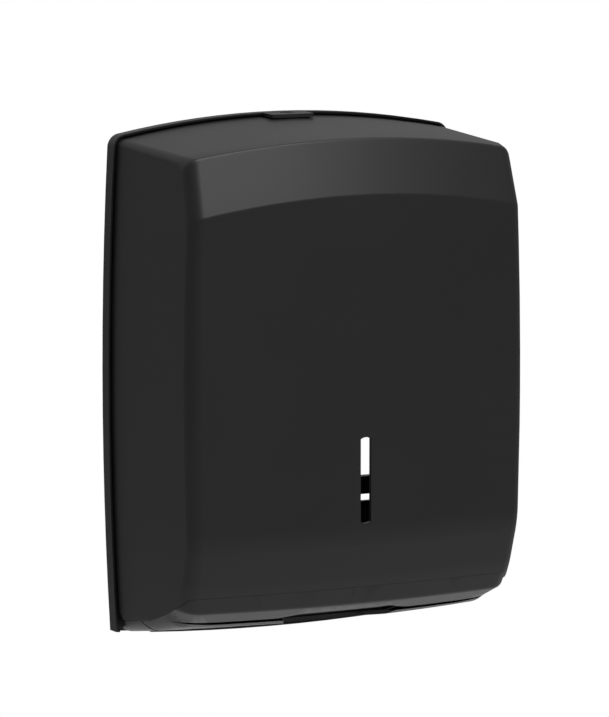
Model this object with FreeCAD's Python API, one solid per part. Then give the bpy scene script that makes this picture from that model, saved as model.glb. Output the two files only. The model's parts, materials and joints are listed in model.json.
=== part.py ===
import FreeCAD, Part
import math
import os
from FreeCAD import Vector

# Wall-mounted folded-towel dispenser, in millimetres.
# X runs to the right seen from the front, Y runs into the wall and Z runs up.
# The origin lies on the wall face, on the centre line, level with the plate's bottom corners.

# --- wall plate ---------------------------------------------------------------
plate_half_width = 140.0        # at mid height
plate_mid_height = 176.5
plate_side_bow_radius = 3040.0
plate_apex_height = 367.0
plate_top_arc_radius = 672.0
plate_corner_radius = 10.0
plate_bottom_drop = 6.0         # the bottom edge hangs this far below its corners
plate_floor = 3.0
rim_depth = 10.2
rim_wall = 2.0

# --- openings, ribs and screw slots of the plate --------------------------------
plate_window_inner_x = 34.0
plate_window_from_side = 28.0   # from the plate's widest place to the opening
plate_window_bottom = 97.9
plate_window_from_top = 99.0    # from the plate's apex down to the opening
plate_window_corner = 8.0
rib_depth = 7.5
rib_width = 3.0
slot_height = 5.1
slot_length = 16.0
slot_x = 72.0
lower_slot_z = 81.7
upper_slot_from_top = 67.0
screw_head_room = 10.9
screw_head_recess = 3.5
pad_half_length = 20.0
pad_half_height = 16.2

# --- cover ----------------------------------------------------------------------
cover_wall = 3.0
rim_to_cover = 0.8              # gap beside the cover's rear edge, inside the rim
rear_edge_gap = 1.5             # gap behind the cover's rear edge
cover_side_draft = 3.5          # half-width lost from rear to front
cover_side_bow_radius = 2970.0
cover_depth = 125.4             # at the side edges
cover_crown = 8.6               # further depth on the centre line
cover_top_gap = 3.0             # from the plate's apex down to the cover's top, at the rim
cover_crease_drop = 8.5         # from there down to the crease
cover_crease_depth = 112.5
crease_arc_radius = 718.0
chamfer_drop = 38.5             # from the crease down to the chamfer's foot
chamfer_arc_radius = 654.0
lower_bend_height = 77.0
lower_bend_angle = 15.6
lip_height = 28.0
facet_angle = 40.0
bottom_slope_angle = 9.5
bottom_rear_height = 1.3        # height of the underside at bottom_rear_depth
bottom_rear_depth = 19.6
bottom_bow = 3.0                # the underside hangs this far lower on the centre line
edge_radius = 10.0              # side edges of the cover
crease_radius_margin = 0.5
lower_bend_radius = 60.0

# --- window in the cover ----------------------------------------------------------
window_width = 8.3
window_bottom = 85.8
window_top = 146.8
window_end_bow = 1.2

# --- seam between the cover and the parts below it --------------------------------
seam_front_height = 39.5
seam_front_depth = 114.0
seam_corner_depth = 106.0
seam_corner_height = 34.6
seam_bend_depth = 42.7
seam_bend_height = 13.2
seam_rear_depth = 17.0
seam_rear_height = 9.4
corner_cut_depth = 10.2
corner_cut_height = 15.0
seam_gap = 0.4
lower_inset = 0.4               # the parts below the seam stand in by this much

# --- mouth in the outlet bezel -----------------------------------------------------
lower_wall = 3.0
slit_from_side = 13.0           # from the plate's widest place to the slit's end
slit_width = 1.8
slit_taper = 12.0               # length over which each end of the slit narrows to a point
slit_height = 20.6              # at the slit's ends
notch_half_width = 67.0
notch_flat_half_width = 24.0
notch_rise = 4.2
finger_cut_half_width = 55.0
finger_cut_rear_half_width = 38.0
finger_cut_rear_depth = 52.0
finger_cut_corner_radius = 12.0
finger_cut_tray_margin = 2.0
slit_curve_steps = 8
notch_curve_steps = 16
slit_end_curve_steps = 4

# --- joints between bezel, tray and cover --------------------------------------------
joint_curve_top_depth = 41.0
joint_curve_mid_depth = 48.5
joint_curve_mid_height = 9.0
joint_curve_foot_depth = 56.0
joint_gap = 0.3
lap_clearance = 0.2
lap_wall = 2.5
lap_rise = 6.0
lap_side_room = 1.0             # between the lap and the cheeks or the tray's flange
tab_rise = 15.0
tab_screw_drop = 5.0            # from a tab's top edge down to its screw
tab_depths = (66.0, 94.0)
tab_half_length = 7.0
flange_rear_depth = 53.0
flange_front_depth = 74.0
flange_from_side = 24.0
flange_wall = 2.6
tray_screw_depth = 65.0
tray_screw_from_cut = 17.0      # from the finger cut's side to the inner screws
tray_screw_inset = 10.0         # from the flange's end to the outer screws
tray_floor_rear_depth = 30.0
tail_top_depth = 17.6
tail_top_height = 6.0
tail_end_depth = 9.0
tail_end_height = 2.4

# --- hinge --------------------------------------------------------------------------
hinge_depth = 14.0
hinge_height = 9.5
opening_angle = 75.0
pin_radius = 2.5
pin_head_radius = 4.2
pin_head_height = 1.5
pin_running_fit = 0.05
bush_wall = 1.5
bush_flange_radius = 5.5
bush_flange = 0.8
hub_radius = 7.0
heel_radius = 9.6
lug_radius = 6.5
lug_from_side = 28.0            # from the plate's widest place to the lug's inner face
lug_thickness = 6.9
lug_side_room = 1.5             # between a pin's head and the tray's floor
rim_gap_side_room = 5.0         # the lower rim's gap starts this far inside the lug
rim_gap_end_wall = 1.0
rim_gap_top = 3.0
cheek_side_play = 0.2
cheek_thickness = 5.0
cheek_arm_depth = 52.0
cheek_arm_height = 27.0
cheek_arm_flat = 12.0           # level stretch at the front of the arm's upper edge
cheek_foot_reach = 15.9         # how far the foot reaches inwards from the arm
cheek_foot_rear_depth = 32.0
cheek_foot_wall = 3.0
cheek_screw_inset = 5.0         # from the foot's inner edge to its screws
cheek_screw_depths = (37.0, 47.0)
stop_nose_radius = 9.5
stop_nose_lead_angle = -18.0
stop_nose_tail_angle = -35.0
stop_clearance = 0.4
stop_block_height = 6.0
stop_block_depth = 6.5

# --- closing buffers -----------------------------------------------------------------
buffer_radius = 1.8
buffer_stem_radius = 1.0
buffer_stem_length = 2.0
buffer_gap = 0.3
buffer_low_height = 95.0
buffer_from_top = 92.0          # from the plate's apex down to the upper buffers

# --- screws ---------------------------------------------------------------------------
screw_radius = 1.5
screw_head_radius = 2.9
screw_head_height = 1.8
screw_cross_width = 0.7
screw_cross_length = 3.0
screw_cross_depth = 1.0
screw_thread_clearance = 0.05
screw_end_cover = 0.6           # plastic left between a screw's end and the outer face
screw_seat_sink = 0.4           # each head sits this far below the face it clamps
screw_head_side_room = 0.4
screw_end_room = 0.5            # between a screw's end and the bottom of its blind hole

# --- lock tongue, barrel and cam ---------------------------------------------------------
tongue_half_width = 17.0
tongue_depth = 25.5
tongue_root_lap = 1.0           # how far the tongue reaches into the plate's rim
tongue_gap = 0.3                # between the tongue's underside and the cover's top
tongue_slope_angle = 2.2
tongue_thickness = 2.5
tongue_corner_radius = 2.0
tongue_swing_room = 0.9         # from the tongue's underside at the rear to the flat under it
tongue_side_room = 1.0
lock_depth = 17.0
barrel_radius = 4.0
barrel_running_fit = 0.05
barrel_head_radius = 5.5
barrel_head_height = 1.2
barrel_head_gap = 0.15
barrel_square = 5.0
key_socket = 4.0
key_socket_depth = 5.0
lock_boss_radius = 6.5
lock_boss_drop = 8.0            # from the cover's top down to the bearing's lower end
clip_thickness = 0.8
clip_outer_radius = 5.6
clip_groove_radius = 3.0
clip_play = 0.15
clip_opening = 4.0
cam_thickness = 3.0
cam_hub_radius = 6.0
cam_finger_width = 5.0
cam_length = 16.0
cam_square_clearance = 0.05
cam_drop = 1.5                  # gap between the clip and the cam
cam_screw_length = 6.0
lock_notch_clearance = 0.8

# --- keeper under the cover's top ----------------------------------------------------------
keeper_sheet = 1.5
keeper_half_width = 24.0
keeper_cam_play = 1.0
keeper_leg_drop = 13.0
keeper_front_land = 8.0
keeper_boss_radius = 4.0
keeper_boss_x = 17.0
keeper_boss_drop = 8.0          # from the cover's top down to the bosses' feet

# Derived sizes shared by several pieces
plate_bottom_half_width = plate_half_width - plate_mid_height ** 2 / (2 * plate_side_bow_radius)
plate_window_outer_x = plate_half_width - plate_window_from_side
plate_window_top = plate_apex_height - plate_window_from_top
upper_slot_z = plate_apex_height - upper_slot_from_top
cover_rear_top = plate_apex_height - cover_top_gap
cover_crease_height = cover_rear_top - cover_crease_drop
chamfer_foot_height = cover_crease_height - chamfer_drop
slit_half_length = plate_half_width - slit_from_side
flange_half_width = plate_half_width - flange_from_side
tray_screw_x = (finger_cut_half_width + tray_screw_from_cut, flange_half_width - tray_screw_inset)
lug_inner_x = plate_half_width - lug_from_side
buffer_heights = (buffer_low_height, plate_apex_height - buffer_from_top)
tongue_rear_underside = cover_rear_top + tongue_gap
lock_boss_bottom = cover_rear_top - lock_boss_drop
keeper_boss_bottom = cover_rear_top - keeper_boss_drop
cover_rear_half_width = plate_half_width - rim_wall - rim_to_cover
cover_rear_face_depth = plate_floor + rear_edge_gap
crease_radius = edge_radius + crease_radius_margin
bottom_slope = math.tan(math.radians(bottom_slope_angle))
floor_up = Vector(0, math.sin(math.radians(bottom_slope_angle)), math.cos(math.radians(bottom_slope_angle)))
cheek_inner_x = lug_inner_x + lug_thickness + cheek_side_play + bush_flange
cheek_outer_x = cheek_inner_x + cheek_thickness
cheek_foot_inner_x = cheek_inner_x - cheek_foot_reach
bush_radius = pin_radius + pin_running_fit + bush_wall
tongue_slope = math.tan(math.radians(tongue_slope_angle))
lock_notch_half_width = lock_boss_radius + lock_notch_clearance
beyond = 30.0                   # how far large cutting tools reach past the solids
overshoot = 1.0                 # how far bores and sockets are cut past an open face
form_stations = 7               # cross-sections that the outer form runs through


def box(x0, x1, y0, y1, z0, z1):
    low = Vector(min(x0, x1), min(y0, y1), min(z0, z1))
    high = Vector(max(x0, x1), max(y0, y1), max(z0, z1))
    size = high - low
    return Part.makeBox(size.x, size.y, size.z, low)


def prism_x(points, x0, x1):
    """A YZ outline drawn out along X."""
    corners = [Vector(min(x0, x1), y, z) for y, z in points]
    face = Part.Face(Part.makePolygon(corners + corners[:1]))
    return face.extrude(Vector(abs(x1 - x0), 0, 0))


def prism_z(points, z0, z1):
    """An XY outline drawn out along Z."""
    corners = [Vector(x, y, min(z0, z1)) for x, y in points]
    face = Part.Face(Part.makePolygon(corners + corners[:1]))
    return face.extrude(Vector(0, 0, abs(z1 - z0)))


def on_both_sides(shape):
    """The shape on the right, with its mirror image on the left."""
    return [shape, shape.mirror(Vector(0, 0, 0), Vector(1, 0, 0))]


def save(shape, node):
    solids = shape.Solids
    kept = solids[0] if len(solids) == 1 else Part.makeCompound(solids)
    kept.exportStep("parts/" + node + ".step")


# --- the outer form shared by the cover, the bezel and the tray ------------------------

def underside_height(x, y):
    """Height of the underside: it rises towards the front and hangs lower in the middle."""
    bow = bottom_bow * (1 - (x / plate_bottom_half_width) ** 2)
    return bottom_rear_height + bottom_slope * (-y - bottom_rear_depth) - bow


def profile_corners(x):
    """Corners of the side profile at one place across the width."""
    front_half_width = cover_rear_half_width - cover_side_draft
    crown = cover_crown * (1 - (x / front_half_width) ** 2)
    front = -(cover_depth + crown)
    crease = -(cover_crease_depth + crown)
    rear_top = cover_rear_top - x * x / (2 * plate_top_arc_radius)
    crease_top = cover_crease_height - x * x / (2 * crease_arc_radius)
    chamfer_foot = chamfer_foot_height - x * x / (2 * chamfer_arc_radius)
    top_slope = (rear_top - crease_top) / (-rim_depth - crease)
    lip = front + (lower_bend_height - lip_height) * math.tan(math.radians(lower_bend_angle))
    facet = math.radians(facet_angle)
    facet_fall = lip_height - underside_height(x, lip)
    facet_run = facet_fall / (math.sin(facet) - bottom_slope * math.cos(facet))
    facet_foot = lip + facet_run * math.cos(facet)
    return [
        (beyond, rear_top + top_slope * (beyond + rim_depth)),
        (crease, crease_top),
        (front, chamfer_foot),
        (front, lower_bend_height),
        (lip, lip_height),
        (facet_foot, lip_height - facet_run * math.sin(facet)),
        (beyond, underside_height(x, beyond)),
    ]


def moved_in(corners, inset):
    """The same outline with every side moved in by one distance."""
    sides = []
    for (y0, z0), (y1, z1) in zip(corners, corners[1:] + corners[:1]):
        length = math.hypot(y1 - y0, z1 - z0)
        along = ((y1 - y0) / length, (z1 - z0) / length)
        sides.append(((y0 - along[1] * inset, z0 + along[0] * inset), along))
    moved = []
    for (p, u), (q, v) in zip(sides[-1:] + sides[:-1], sides):
        turn = v[0] * u[1] - u[0] * v[1]
        reach = (v[0] * (q[1] - p[1]) - v[1] * (q[0] - p[0])) / turn
        moved.append((p[0] + u[0] * reach, p[1] + u[1] * reach))
    return moved


def rounded_wire(x, corners, radii):
    """A closed wire across YZ with an arc at each corner that has a radius."""
    ends = []
    for i, radius in enumerate(radii):
        before = Vector(x, *corners[i - 1])
        corner = Vector(x, *corners[i])
        after = Vector(x, *corners[(i + 1) % len(corners)])
        back = (before - corner).normalize()
        on = (after - corner).normalize()
        half_angle = math.acos(back.dot(on)) / 2
        reach = radius / math.tan(half_angle)
        middle = corner + (back + on).normalize() * (radius / math.sin(half_angle) - radius)
        ends.append((corner + back * reach, middle, corner + on * reach))
    edges = []
    for (start, middle, end), following, radius in zip(ends, ends[1:] + ends[:1], radii):
        if radius > 0:
            edges.append(Part.Arc(start, middle, end).toShape())
        edges.append(Part.makeLine(end, following[0]))
    return Part.Wire(edges)


def outer_form(inset, soft):
    """The dispenser's whole outer form, moved in by inset; soft rounds its side edges."""
    radii = [0.0] * 7
    if soft:
        radii[1:6] = [crease_radius, crease_radius, lower_bend_radius, crease_radius, crease_radius]
    reach = plate_half_width + 1.0
    stations = [reach * (2 * k / (form_stations - 1) - 1) for k in range(form_stations)]
    wires = [rounded_wire(x, moved_in(profile_corners(x), inset), radii) for x in stations]
    middle = Part.makeLoft(wires, True, False)
    whole = middle.common(side_walls(inset))
    radius = edge_radius if soft else edge_radius - inset
    return whole.makeFillet(radius, side_edges(whole))


def half_width_at(y, z, inset):
    """Half the form's width where its side wall has this depth and height."""
    draft = cover_side_draft * (-y - rim_depth) / (cover_depth - rim_depth)
    bow = (z - plate_mid_height) ** 2 / (2 * cover_side_bow_radius)
    return cover_rear_half_width - draft - bow - inset


def side_walls(inset):
    """A block between the two drafted and bowed side faces."""
    low, high = -beyond, plate_apex_height + beyond
    wires = []
    for y in (beyond, -cover_depth - cover_crown - beyond):
        right = [Vector(half_width_at(y, z, inset), y, z) for z in (low, plate_mid_height, high)]
        left = [Vector(-p.x, p.y, p.z) for p in reversed(right)]
        wires.append(Part.Wire([
            Part.Arc(*right).toShape(),
            Part.makeLine(right[2], left[0]),
            Part.Arc(*left).toShape(),
            Part.makeLine(left[2], right[0]),
        ]))
    return Part.makeLoft(wires, True, True)


def faces_sideways(face, point):
    u, v = face.Surface.parameter(point)
    return abs(face.normalAt(u, v).x) > 0.9


def side_edges(whole):
    """The edges between a side wall and the faces round the profile."""
    found = []
    for edge in whole.Edges:
        point = edge.valueAt((edge.FirstParameter + edge.LastParameter) / 2)
        faces = [face for face in whole.Faces if any(edge.isSame(other) for other in face.Edges)]
        sideways = [faces_sideways(face, point) for face in faces]
        if sideways.count(True) == 1 and len(sideways) == 2 and point.y < beyond / 2:
            found.append(edge)
    return found


def seam_outline(gap):
    """The YZ region below the seam; the gap lowers its upper edge."""
    upper = [
        (beyond, corner_cut_height),
        (-corner_cut_depth, corner_cut_height),
        (-seam_rear_depth, seam_rear_height),
        (-seam_bend_depth, seam_bend_height),
        (-seam_corner_depth, seam_corner_height),
        (-seam_front_depth, seam_front_height),
        (-cover_depth - beyond, seam_front_height),
    ]
    lower = [(-cover_depth - beyond, -beyond), (beyond, -beyond)]
    return [(y, z - gap) for y, z in upper] + lower


def below_seam(gap):
    reach = plate_half_width + beyond
    return prism_x(seam_outline(gap), -reach, reach)


def seam_height(depth):
    """Height of the seam on the side wall between its bend and its front corner."""
    share = (depth - seam_bend_depth) / (seam_corner_depth - seam_bend_depth)
    return seam_bend_height + share * (seam_corner_height - seam_bend_height)


def bezel_region(shift):
    """The region in front of the joint: straight across the floor, curved on the side walls."""
    reach = plate_half_width + beyond
    middle = box(-flange_half_width, flange_half_width, -joint_curve_foot_depth - shift,
                 -cover_depth - 2 * beyond, -2 * beyond, seam_front_height + 2 * beyond)
    between = box(-flange_half_width, flange_half_width, beyond, -cover_depth - 2 * beyond,
                  -2 * beyond, seam_front_height + 3 * beyond)
    return joint_curve(shift, reach).cut(between).fuse(middle)


def joint_curve(shift, reach):
    """The region in front of the curved joint on the side walls."""
    top = Vector(0, -joint_curve_top_depth - shift, seam_bend_height + shift)
    middle = Vector(0, -joint_curve_mid_depth - shift, joint_curve_mid_height)
    foot = Vector(0, -joint_curve_foot_depth - shift, underside_height(0, 0) + bottom_bow)
    low = Vector(0, foot.y, -beyond)
    far_low = Vector(0, -cover_depth - beyond, -beyond)
    far_high = Vector(0, far_low.y, seam_front_height + beyond)
    high = Vector(0, top.y, far_high.z)
    edges = [Part.Arc(top, middle, foot).toShape()]
    corners = [foot, low, far_low, far_high, high, top]
    edges += [Part.makeLine(a, b) for a, b in zip(corners, corners[1:])]
    face = Part.Face(Part.Wire(edges))
    face.translate(Vector(-reach, 0, 0))
    return face.extrude(Vector(2 * reach, 0, 0))


# --- screws ------------------------------------------------------------------------------

def pan_screw(seat, direction, length):
    """A pan-head screw with a cross recess; the seat is under its head."""
    way = Vector(direction).normalize()
    shank = Part.makeCylinder(screw_radius, length, Vector(0, 0, 0))
    head = Part.makeCylinder(screw_head_radius, screw_head_height, Vector(0, 0, -screw_head_height))
    head = head.makeFillet(screw_head_height / 2, [head.Edges[2]])
    screw = shank.fuse(head).removeSplitter()
    half, width = screw_cross_length / 2, screw_cross_width / 2
    top = -screw_head_height
    for cut_x, cut_y in ((half, width), (width, half)):
        screw = screw.cut(box(-cut_x, cut_x, -cut_y, cut_y, top - overshoot, top + screw_cross_depth))
    screw.Placement = FreeCAD.Placement(seat, FreeCAD.Rotation(Vector(0, 0, 1), way))
    return screw


def screw_hole(seat, direction, length):
    """Room for the shank, and for the head above the seat."""
    way = Vector(direction).normalize()
    shank = Part.makeCylinder(screw_radius + screw_thread_clearance, length, seat, way)
    head = Part.makeCylinder(screw_head_radius + screw_head_side_room, screw_head_height * 2, seat, way * -1)
    return shank.fuse(head)


def floor_screw(x, depth, upper_wall):
    """Seat, direction and length of a screw through an upper wall into the lower wall."""
    stack = lower_inset + lower_wall + upper_wall - screw_seat_sink
    outer = Vector(x, -depth, underside_height(x, -depth))
    seat = outer + floor_up * stack
    length = stack - lower_inset - screw_end_cover
    return seat, floor_up * -1, length


def side_screw(depth, height):
    """Seat, direction and length of a screw through the bezel's tab into the cover's side."""
    stack = cover_wall + lap_clearance + lap_wall - screw_seat_sink
    seat = Vector(half_width_at(-depth, height, stack), -depth, height)
    return seat, Vector(1, 0, 0), stack - screw_end_cover


cheek_screw_places = [floor_screw(cheek_foot_inner_x + cheek_screw_inset, depth, cheek_foot_wall)
                      for depth in cheek_screw_depths]
tray_screw_places = [floor_screw(x, tray_screw_depth, flange_wall) for x in tray_screw_x]
bezel_screw_places = [side_screw(depth, seam_height(depth) + tab_rise - tab_screw_drop)
                      for depth in tab_depths]


def screws(places):
    made = []
    for seat, direction, length in places:
        made += on_both_sides(pan_screw(seat, direction, length))
    return Part.makeCompound(made)


def drilled(shape, places):
    for seat, direction, length in places:
        for hole in on_both_sides(screw_hole(seat, direction, length)):
            shape = shape.cut(hole)
    return shape


# --- wall plate ------------------------------------------------------------------------------

def plate_block(inset, y0, y1):
    """The plate's outline moved in by inset, between two depths."""
    def side(z):
        bow = (z - plate_mid_height) ** 2 / (2 * plate_side_bow_radius)
        return plate_half_width - bow - inset

    corner_x = side(plate_apex_height)
    top_z = plate_apex_height - corner_x ** 2 / (2 * plate_top_arc_radius) - inset
    foot_x = side(0.0)
    foot = Vector(foot_x, y0, inset)
    corner = Vector(side(top_z), y0, top_z)
    bottom = Vector(0, y0, inset - plate_bottom_drop)
    apex = Vector(0, y0, plate_apex_height - inset)
    right = Part.Arc(foot, Vector(side(plate_mid_height), y0, plate_mid_height), corner)
    left_foot, left_corner = Vector(-foot.x, y0, foot.z), Vector(-corner.x, y0, corner.z)
    left = Part.Arc(left_corner, Vector(-side(plate_mid_height), y0, plate_mid_height), left_foot)
    edges = [
        right.toShape(),
        Part.Arc(corner, apex, left_corner).toShape(),
        left.toShape(),
        Part.Arc(left_foot, bottom, foot).toShape(),
    ]
    block = Part.Face(Part.Wire(edges)).extrude(Vector(0, y1 - y0, 0))
    uprights = [edge for edge in block.Edges
                if edge.BoundBox.YLength > abs(y1 - y0) / 2 and edge.BoundBox.ZMin > plate_mid_height]
    return block.makeFillet(plate_corner_radius - inset, uprights)


def rounded_opening(x0, x1, z0, z1, radius, y0, y1):
    opening = box(x0, x1, y0, y1, z0, z1)
    return opening.makeFillet(radius, [e for e in opening.Edges if e.BoundBox.YLength > abs(y1 - y0) / 2])


def window_frame():
    """The rib round one opening of the plate, with the opening cut away."""
    y0, y1 = 0.0, -rib_depth
    outer = rounded_opening(plate_window_inner_x - rib_width, plate_window_outer_x + rib_width,
                            plate_window_bottom - rib_width, plate_window_top + rib_width,
                            plate_window_corner + rib_width, y0, y1)
    return outer.cut(window_opening())


def window_opening():
    return rounded_opening(plate_window_inner_x, plate_window_outer_x, plate_window_bottom,
                           plate_window_top, plate_window_corner, beyond, -beyond)


def screw_pad(z):
    return box(slot_x - pad_half_length, slot_x + pad_half_length, 0, -rib_depth,
               z - pad_half_height, z + pad_half_height)


def long_hole(z, height, length, y0, y1):
    """A round-ended slot along X."""
    radius = height / 2
    straight = (length - height) / 2
    hole = box(slot_x - straight, slot_x + straight, y0, y1, z - radius, z + radius)
    for x in (slot_x - straight, slot_x + straight):
        end = Part.makeCylinder(radius, abs(y1 - y0), Vector(x, max(y0, y1), z), Vector(0, -1, 0))
        hole = hole.fuse(end)
    return hole


def screw_slot(z):
    through = long_hole(z, slot_height, slot_length, beyond, -beyond)
    recess_floor = -(rib_depth - screw_head_recess)
    head = long_hole(z, screw_head_room, slot_length + screw_head_room - slot_height, recess_floor, -beyond)
    return through.fuse(head)


def hinge_lug():
    """A lug that stands on the plate's floor and carries the hinge pin."""
    x0, x1 = lug_inner_x, lug_inner_x + lug_thickness
    stem = box(x0, x1, -plate_floor, -hinge_depth, hinge_height - lug_radius, hinge_height + lug_radius)
    eye = Part.makeCylinder(lug_radius, lug_thickness, Vector(x0, -hinge_depth, hinge_height),
                            Vector(1, 0, 0))
    bore = Part.makeCylinder(pin_radius, lug_thickness + 2 * overshoot,
                             Vector(x0 - overshoot, -hinge_depth, hinge_height), Vector(1, 0, 0))
    return stem.fuse(eye).cut(bore)


def stop_block():
    """The block that the cheek's nose meets when the cover is fully open."""
    lead = math.radians(stop_nose_lead_angle + opening_angle)
    low = hinge_height + stop_nose_radius * math.sin(lead) + stop_clearance
    return box(cheek_inner_x, cheek_outer_x, -plate_floor, -plate_floor - stop_block_depth,
               low, low + stop_block_height)


def tongue_outline():
    """Side outline of the tongue, from inside the rim to its front end."""
    rear, front = -rim_depth + tongue_root_lap, -tongue_depth
    under_rear = tongue_rear_underside
    under_front = tongue_rear_underside - tongue_slope * (tongue_depth - rim_depth)
    return [
        (rear, under_rear),
        (rear, under_rear + tongue_thickness),
        (front, under_front + tongue_thickness),
        (front, under_front),
    ]


def tongue_top(depth):
    return tongue_rear_underside + tongue_thickness - tongue_slope * (depth - rim_depth)


def lock_tongue():
    """The tongue over the cover's top, with the long bearing for the lock barrel."""
    tongue = prism_x(tongue_outline(), -tongue_half_width, tongue_half_width)
    corners = [edge for edge in tongue.Edges
               if edge.BoundBox.ZLength > tongue_thickness / 2 and edge.BoundBox.YMin < -lock_depth]
    tongue = tongue.makeFillet(tongue_corner_radius, corners)
    height = tongue_top(lock_depth) - tongue_thickness / 2 - lock_boss_bottom
    boss = Part.makeCylinder(lock_boss_radius, height, Vector(0, -lock_depth, lock_boss_bottom))
    seat = tongue_top(lock_depth) - barrel_head_height - barrel_head_gap
    bore = Part.makeCylinder(barrel_radius + barrel_running_fit, beyond,
                             Vector(0, -lock_depth, lock_boss_bottom - overshoot))
    head_room = Part.makeCylinder(barrel_head_radius + barrel_head_gap, beyond, Vector(0, -lock_depth, seat))
    return tongue.fuse(boss).cut(bore).cut(head_room)


def wall_plate():
    outer = plate_block(0.0, 0.0, -rim_depth)
    hollow = plate_block(rim_wall, -plate_floor, -rim_depth - overshoot)
    plate = outer.cut(hollow)
    plate = plate.fuse(lock_tongue())
    # The lower rim is open where the hinge cheeks swing through it.
    for gap in on_both_sides(box(lug_inner_x - rim_gap_side_room, half_width_at(0, 0, 0) - rim_gap_end_wall,
                                 -plate_floor, -rim_depth - overshoot, -plate_bottom_drop, rim_gap_top)):
        plate = plate.cut(gap)
    for z in (lower_slot_z, upper_slot_z):
        for pad in on_both_sides(screw_pad(z)):
            plate = plate.fuse(pad)
    for added in (window_frame(), hinge_lug(), stop_block()):
        for piece in on_both_sides(added):
            plate = plate.fuse(piece)
    for opening in on_both_sides(window_opening()):
        plate = plate.cut(opening)
    for z in (lower_slot_z, upper_slot_z):
        for slot in on_both_sides(screw_slot(z)):
            plate = plate.cut(slot)
    for z in buffer_heights:
        for hole in on_both_sides(buffer_hole(z)):
            plate = plate.cut(hole)
    return plate.removeSplitter()


# --- closing buffers ------------------------------------------------------------------------

def buffer_x(z):
    """The buffers sit behind the middle of the cover's rear edge."""
    return half_width_at(-cover_rear_face_depth, z, cover_wall / 2)


def buffer_hole(z):
    return Part.makeCylinder(buffer_stem_radius + screw_thread_clearance, buffer_stem_length,
                             Vector(buffer_x(z), -plate_floor + buffer_stem_length, z), Vector(0, -1, 0))


def closing_buffer(z):
    height = rear_edge_gap - buffer_gap
    x = buffer_x(z)
    pad = Part.makeCylinder(buffer_radius, height, Vector(x, -plate_floor, z), Vector(0, -1, 0))
    stem = Part.makeCylinder(buffer_stem_radius, buffer_stem_length,
                             Vector(x, -plate_floor + buffer_stem_length, z), Vector(0, -1, 0))
    return pad.fuse(stem)


def closing_buffers():
    made = []
    for z in buffer_heights:
        made += on_both_sides(closing_buffer(z))
    return Part.makeCompound(made)


# --- hinge pieces ------------------------------------------------------------------------------

def hinge_pin():
    start = Vector(lug_inner_x - pin_head_height, -hinge_depth, hinge_height)
    head = Part.makeCylinder(pin_head_radius, pin_head_height, start, Vector(1, 0, 0))
    shank = Part.makeCylinder(pin_radius, cheek_outer_x - start.x, start, Vector(1, 0, 0))
    return head.fuse(shank).removeSplitter()


def pin_bush():
    start = Vector(cheek_inner_x - bush_flange, -hinge_depth, hinge_height)
    flange = Part.makeCylinder(bush_flange_radius, bush_flange, start, Vector(1, 0, 0))
    sleeve = Part.makeCylinder(bush_radius, cheek_thickness + bush_flange, start, Vector(1, 0, 0))
    bore = Part.makeCylinder(pin_radius + pin_running_fit, cheek_thickness + bush_flange + 2 * overshoot,
                             start - Vector(overshoot, 0, 0), Vector(1, 0, 0))
    return flange.fuse(sleeve).cut(bore).removeSplitter()


def stop_nose():
    """The wedge on the hub that ends the cover's travel."""
    angles = [math.radians(stop_nose_tail_angle), math.radians(stop_nose_lead_angle)]
    tips = [(-hinge_depth + stop_nose_radius * math.cos(a), hinge_height + stop_nose_radius * math.sin(a))
            for a in angles]
    return prism_x([(-hinge_depth, hinge_height)] + tips, cheek_inner_x, cheek_outer_x)


def hinge_cheek(inner_form, foot_ceiling):
    """The arm that carries the tray and cover on the hinge, with its foot on the tray's floor."""
    hub = Part.makeCylinder(hub_radius, cheek_thickness, Vector(cheek_inner_x, -hinge_depth, hinge_height),
                            Vector(1, 0, 0))
    arm = prism_x([
        (-hinge_depth, hinge_height + hub_radius),
        (-cheek_arm_depth + cheek_arm_flat, cheek_arm_height),
        (-cheek_arm_depth, cheek_arm_height),
        (-cheek_arm_depth, 0.0),
        (-hinge_depth, 0.0),
    ], cheek_inner_x, cheek_outer_x)
    arm = arm.cut(Part.makeCylinder(hub_radius, cheek_thickness,
                                    Vector(cheek_inner_x, -hinge_depth, hinge_height), Vector(1, 0, 0)))
    foot = box(cheek_foot_inner_x, cheek_inner_x, -cheek_foot_rear_depth, -cheek_arm_depth,
               0, hinge_height + beyond).cut(foot_ceiling)
    cheek = hub.fuse(arm).fuse(stop_nose()).fuse(foot).common(inner_form)
    bore = Part.makeCylinder(bush_radius, cheek_thickness + 2 * overshoot,
                             Vector(cheek_inner_x - overshoot, -hinge_depth, hinge_height), Vector(1, 0, 0))
    cheek = cheek.cut(bore)
    for seat, direction, length in cheek_screw_places:
        cheek = cheek.cut(screw_hole(seat, direction, length))
    return cheek.removeSplitter()


# --- cover ------------------------------------------------------------------------------------

def window_cut():
    """The long window, with slightly bowed ends."""
    half = window_width / 2
    y = -cover_depth - cover_crown - beyond
    top, bottom = window_top - window_end_bow, window_bottom + window_end_bow
    edges = [
        Part.makeLine(Vector(half, y, bottom), Vector(half, y, top)),
        Part.Arc(Vector(half, y, top), Vector(0, y, window_top), Vector(-half, y, top)).toShape(),
        Part.makeLine(Vector(-half, y, top), Vector(-half, y, bottom)),
        Part.Arc(Vector(-half, y, bottom), Vector(0, y, window_bottom), Vector(half, y, bottom)).toShape(),
    ]
    return Part.Face(Part.Wire(edges)).extrude(Vector(0, 2 * beyond, 0))


def lock_notch():
    """The notch, open to the rear, that lets the lock's bearing into the cover's top."""
    end = Part.makeCylinder(lock_notch_half_width, 2 * beyond,
                            Vector(0, -lock_depth, plate_apex_height - beyond))
    way = box(-lock_notch_half_width, lock_notch_half_width, beyond, -lock_depth,
              plate_apex_height - beyond, plate_apex_height + beyond)
    return end.fuse(way)


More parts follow.
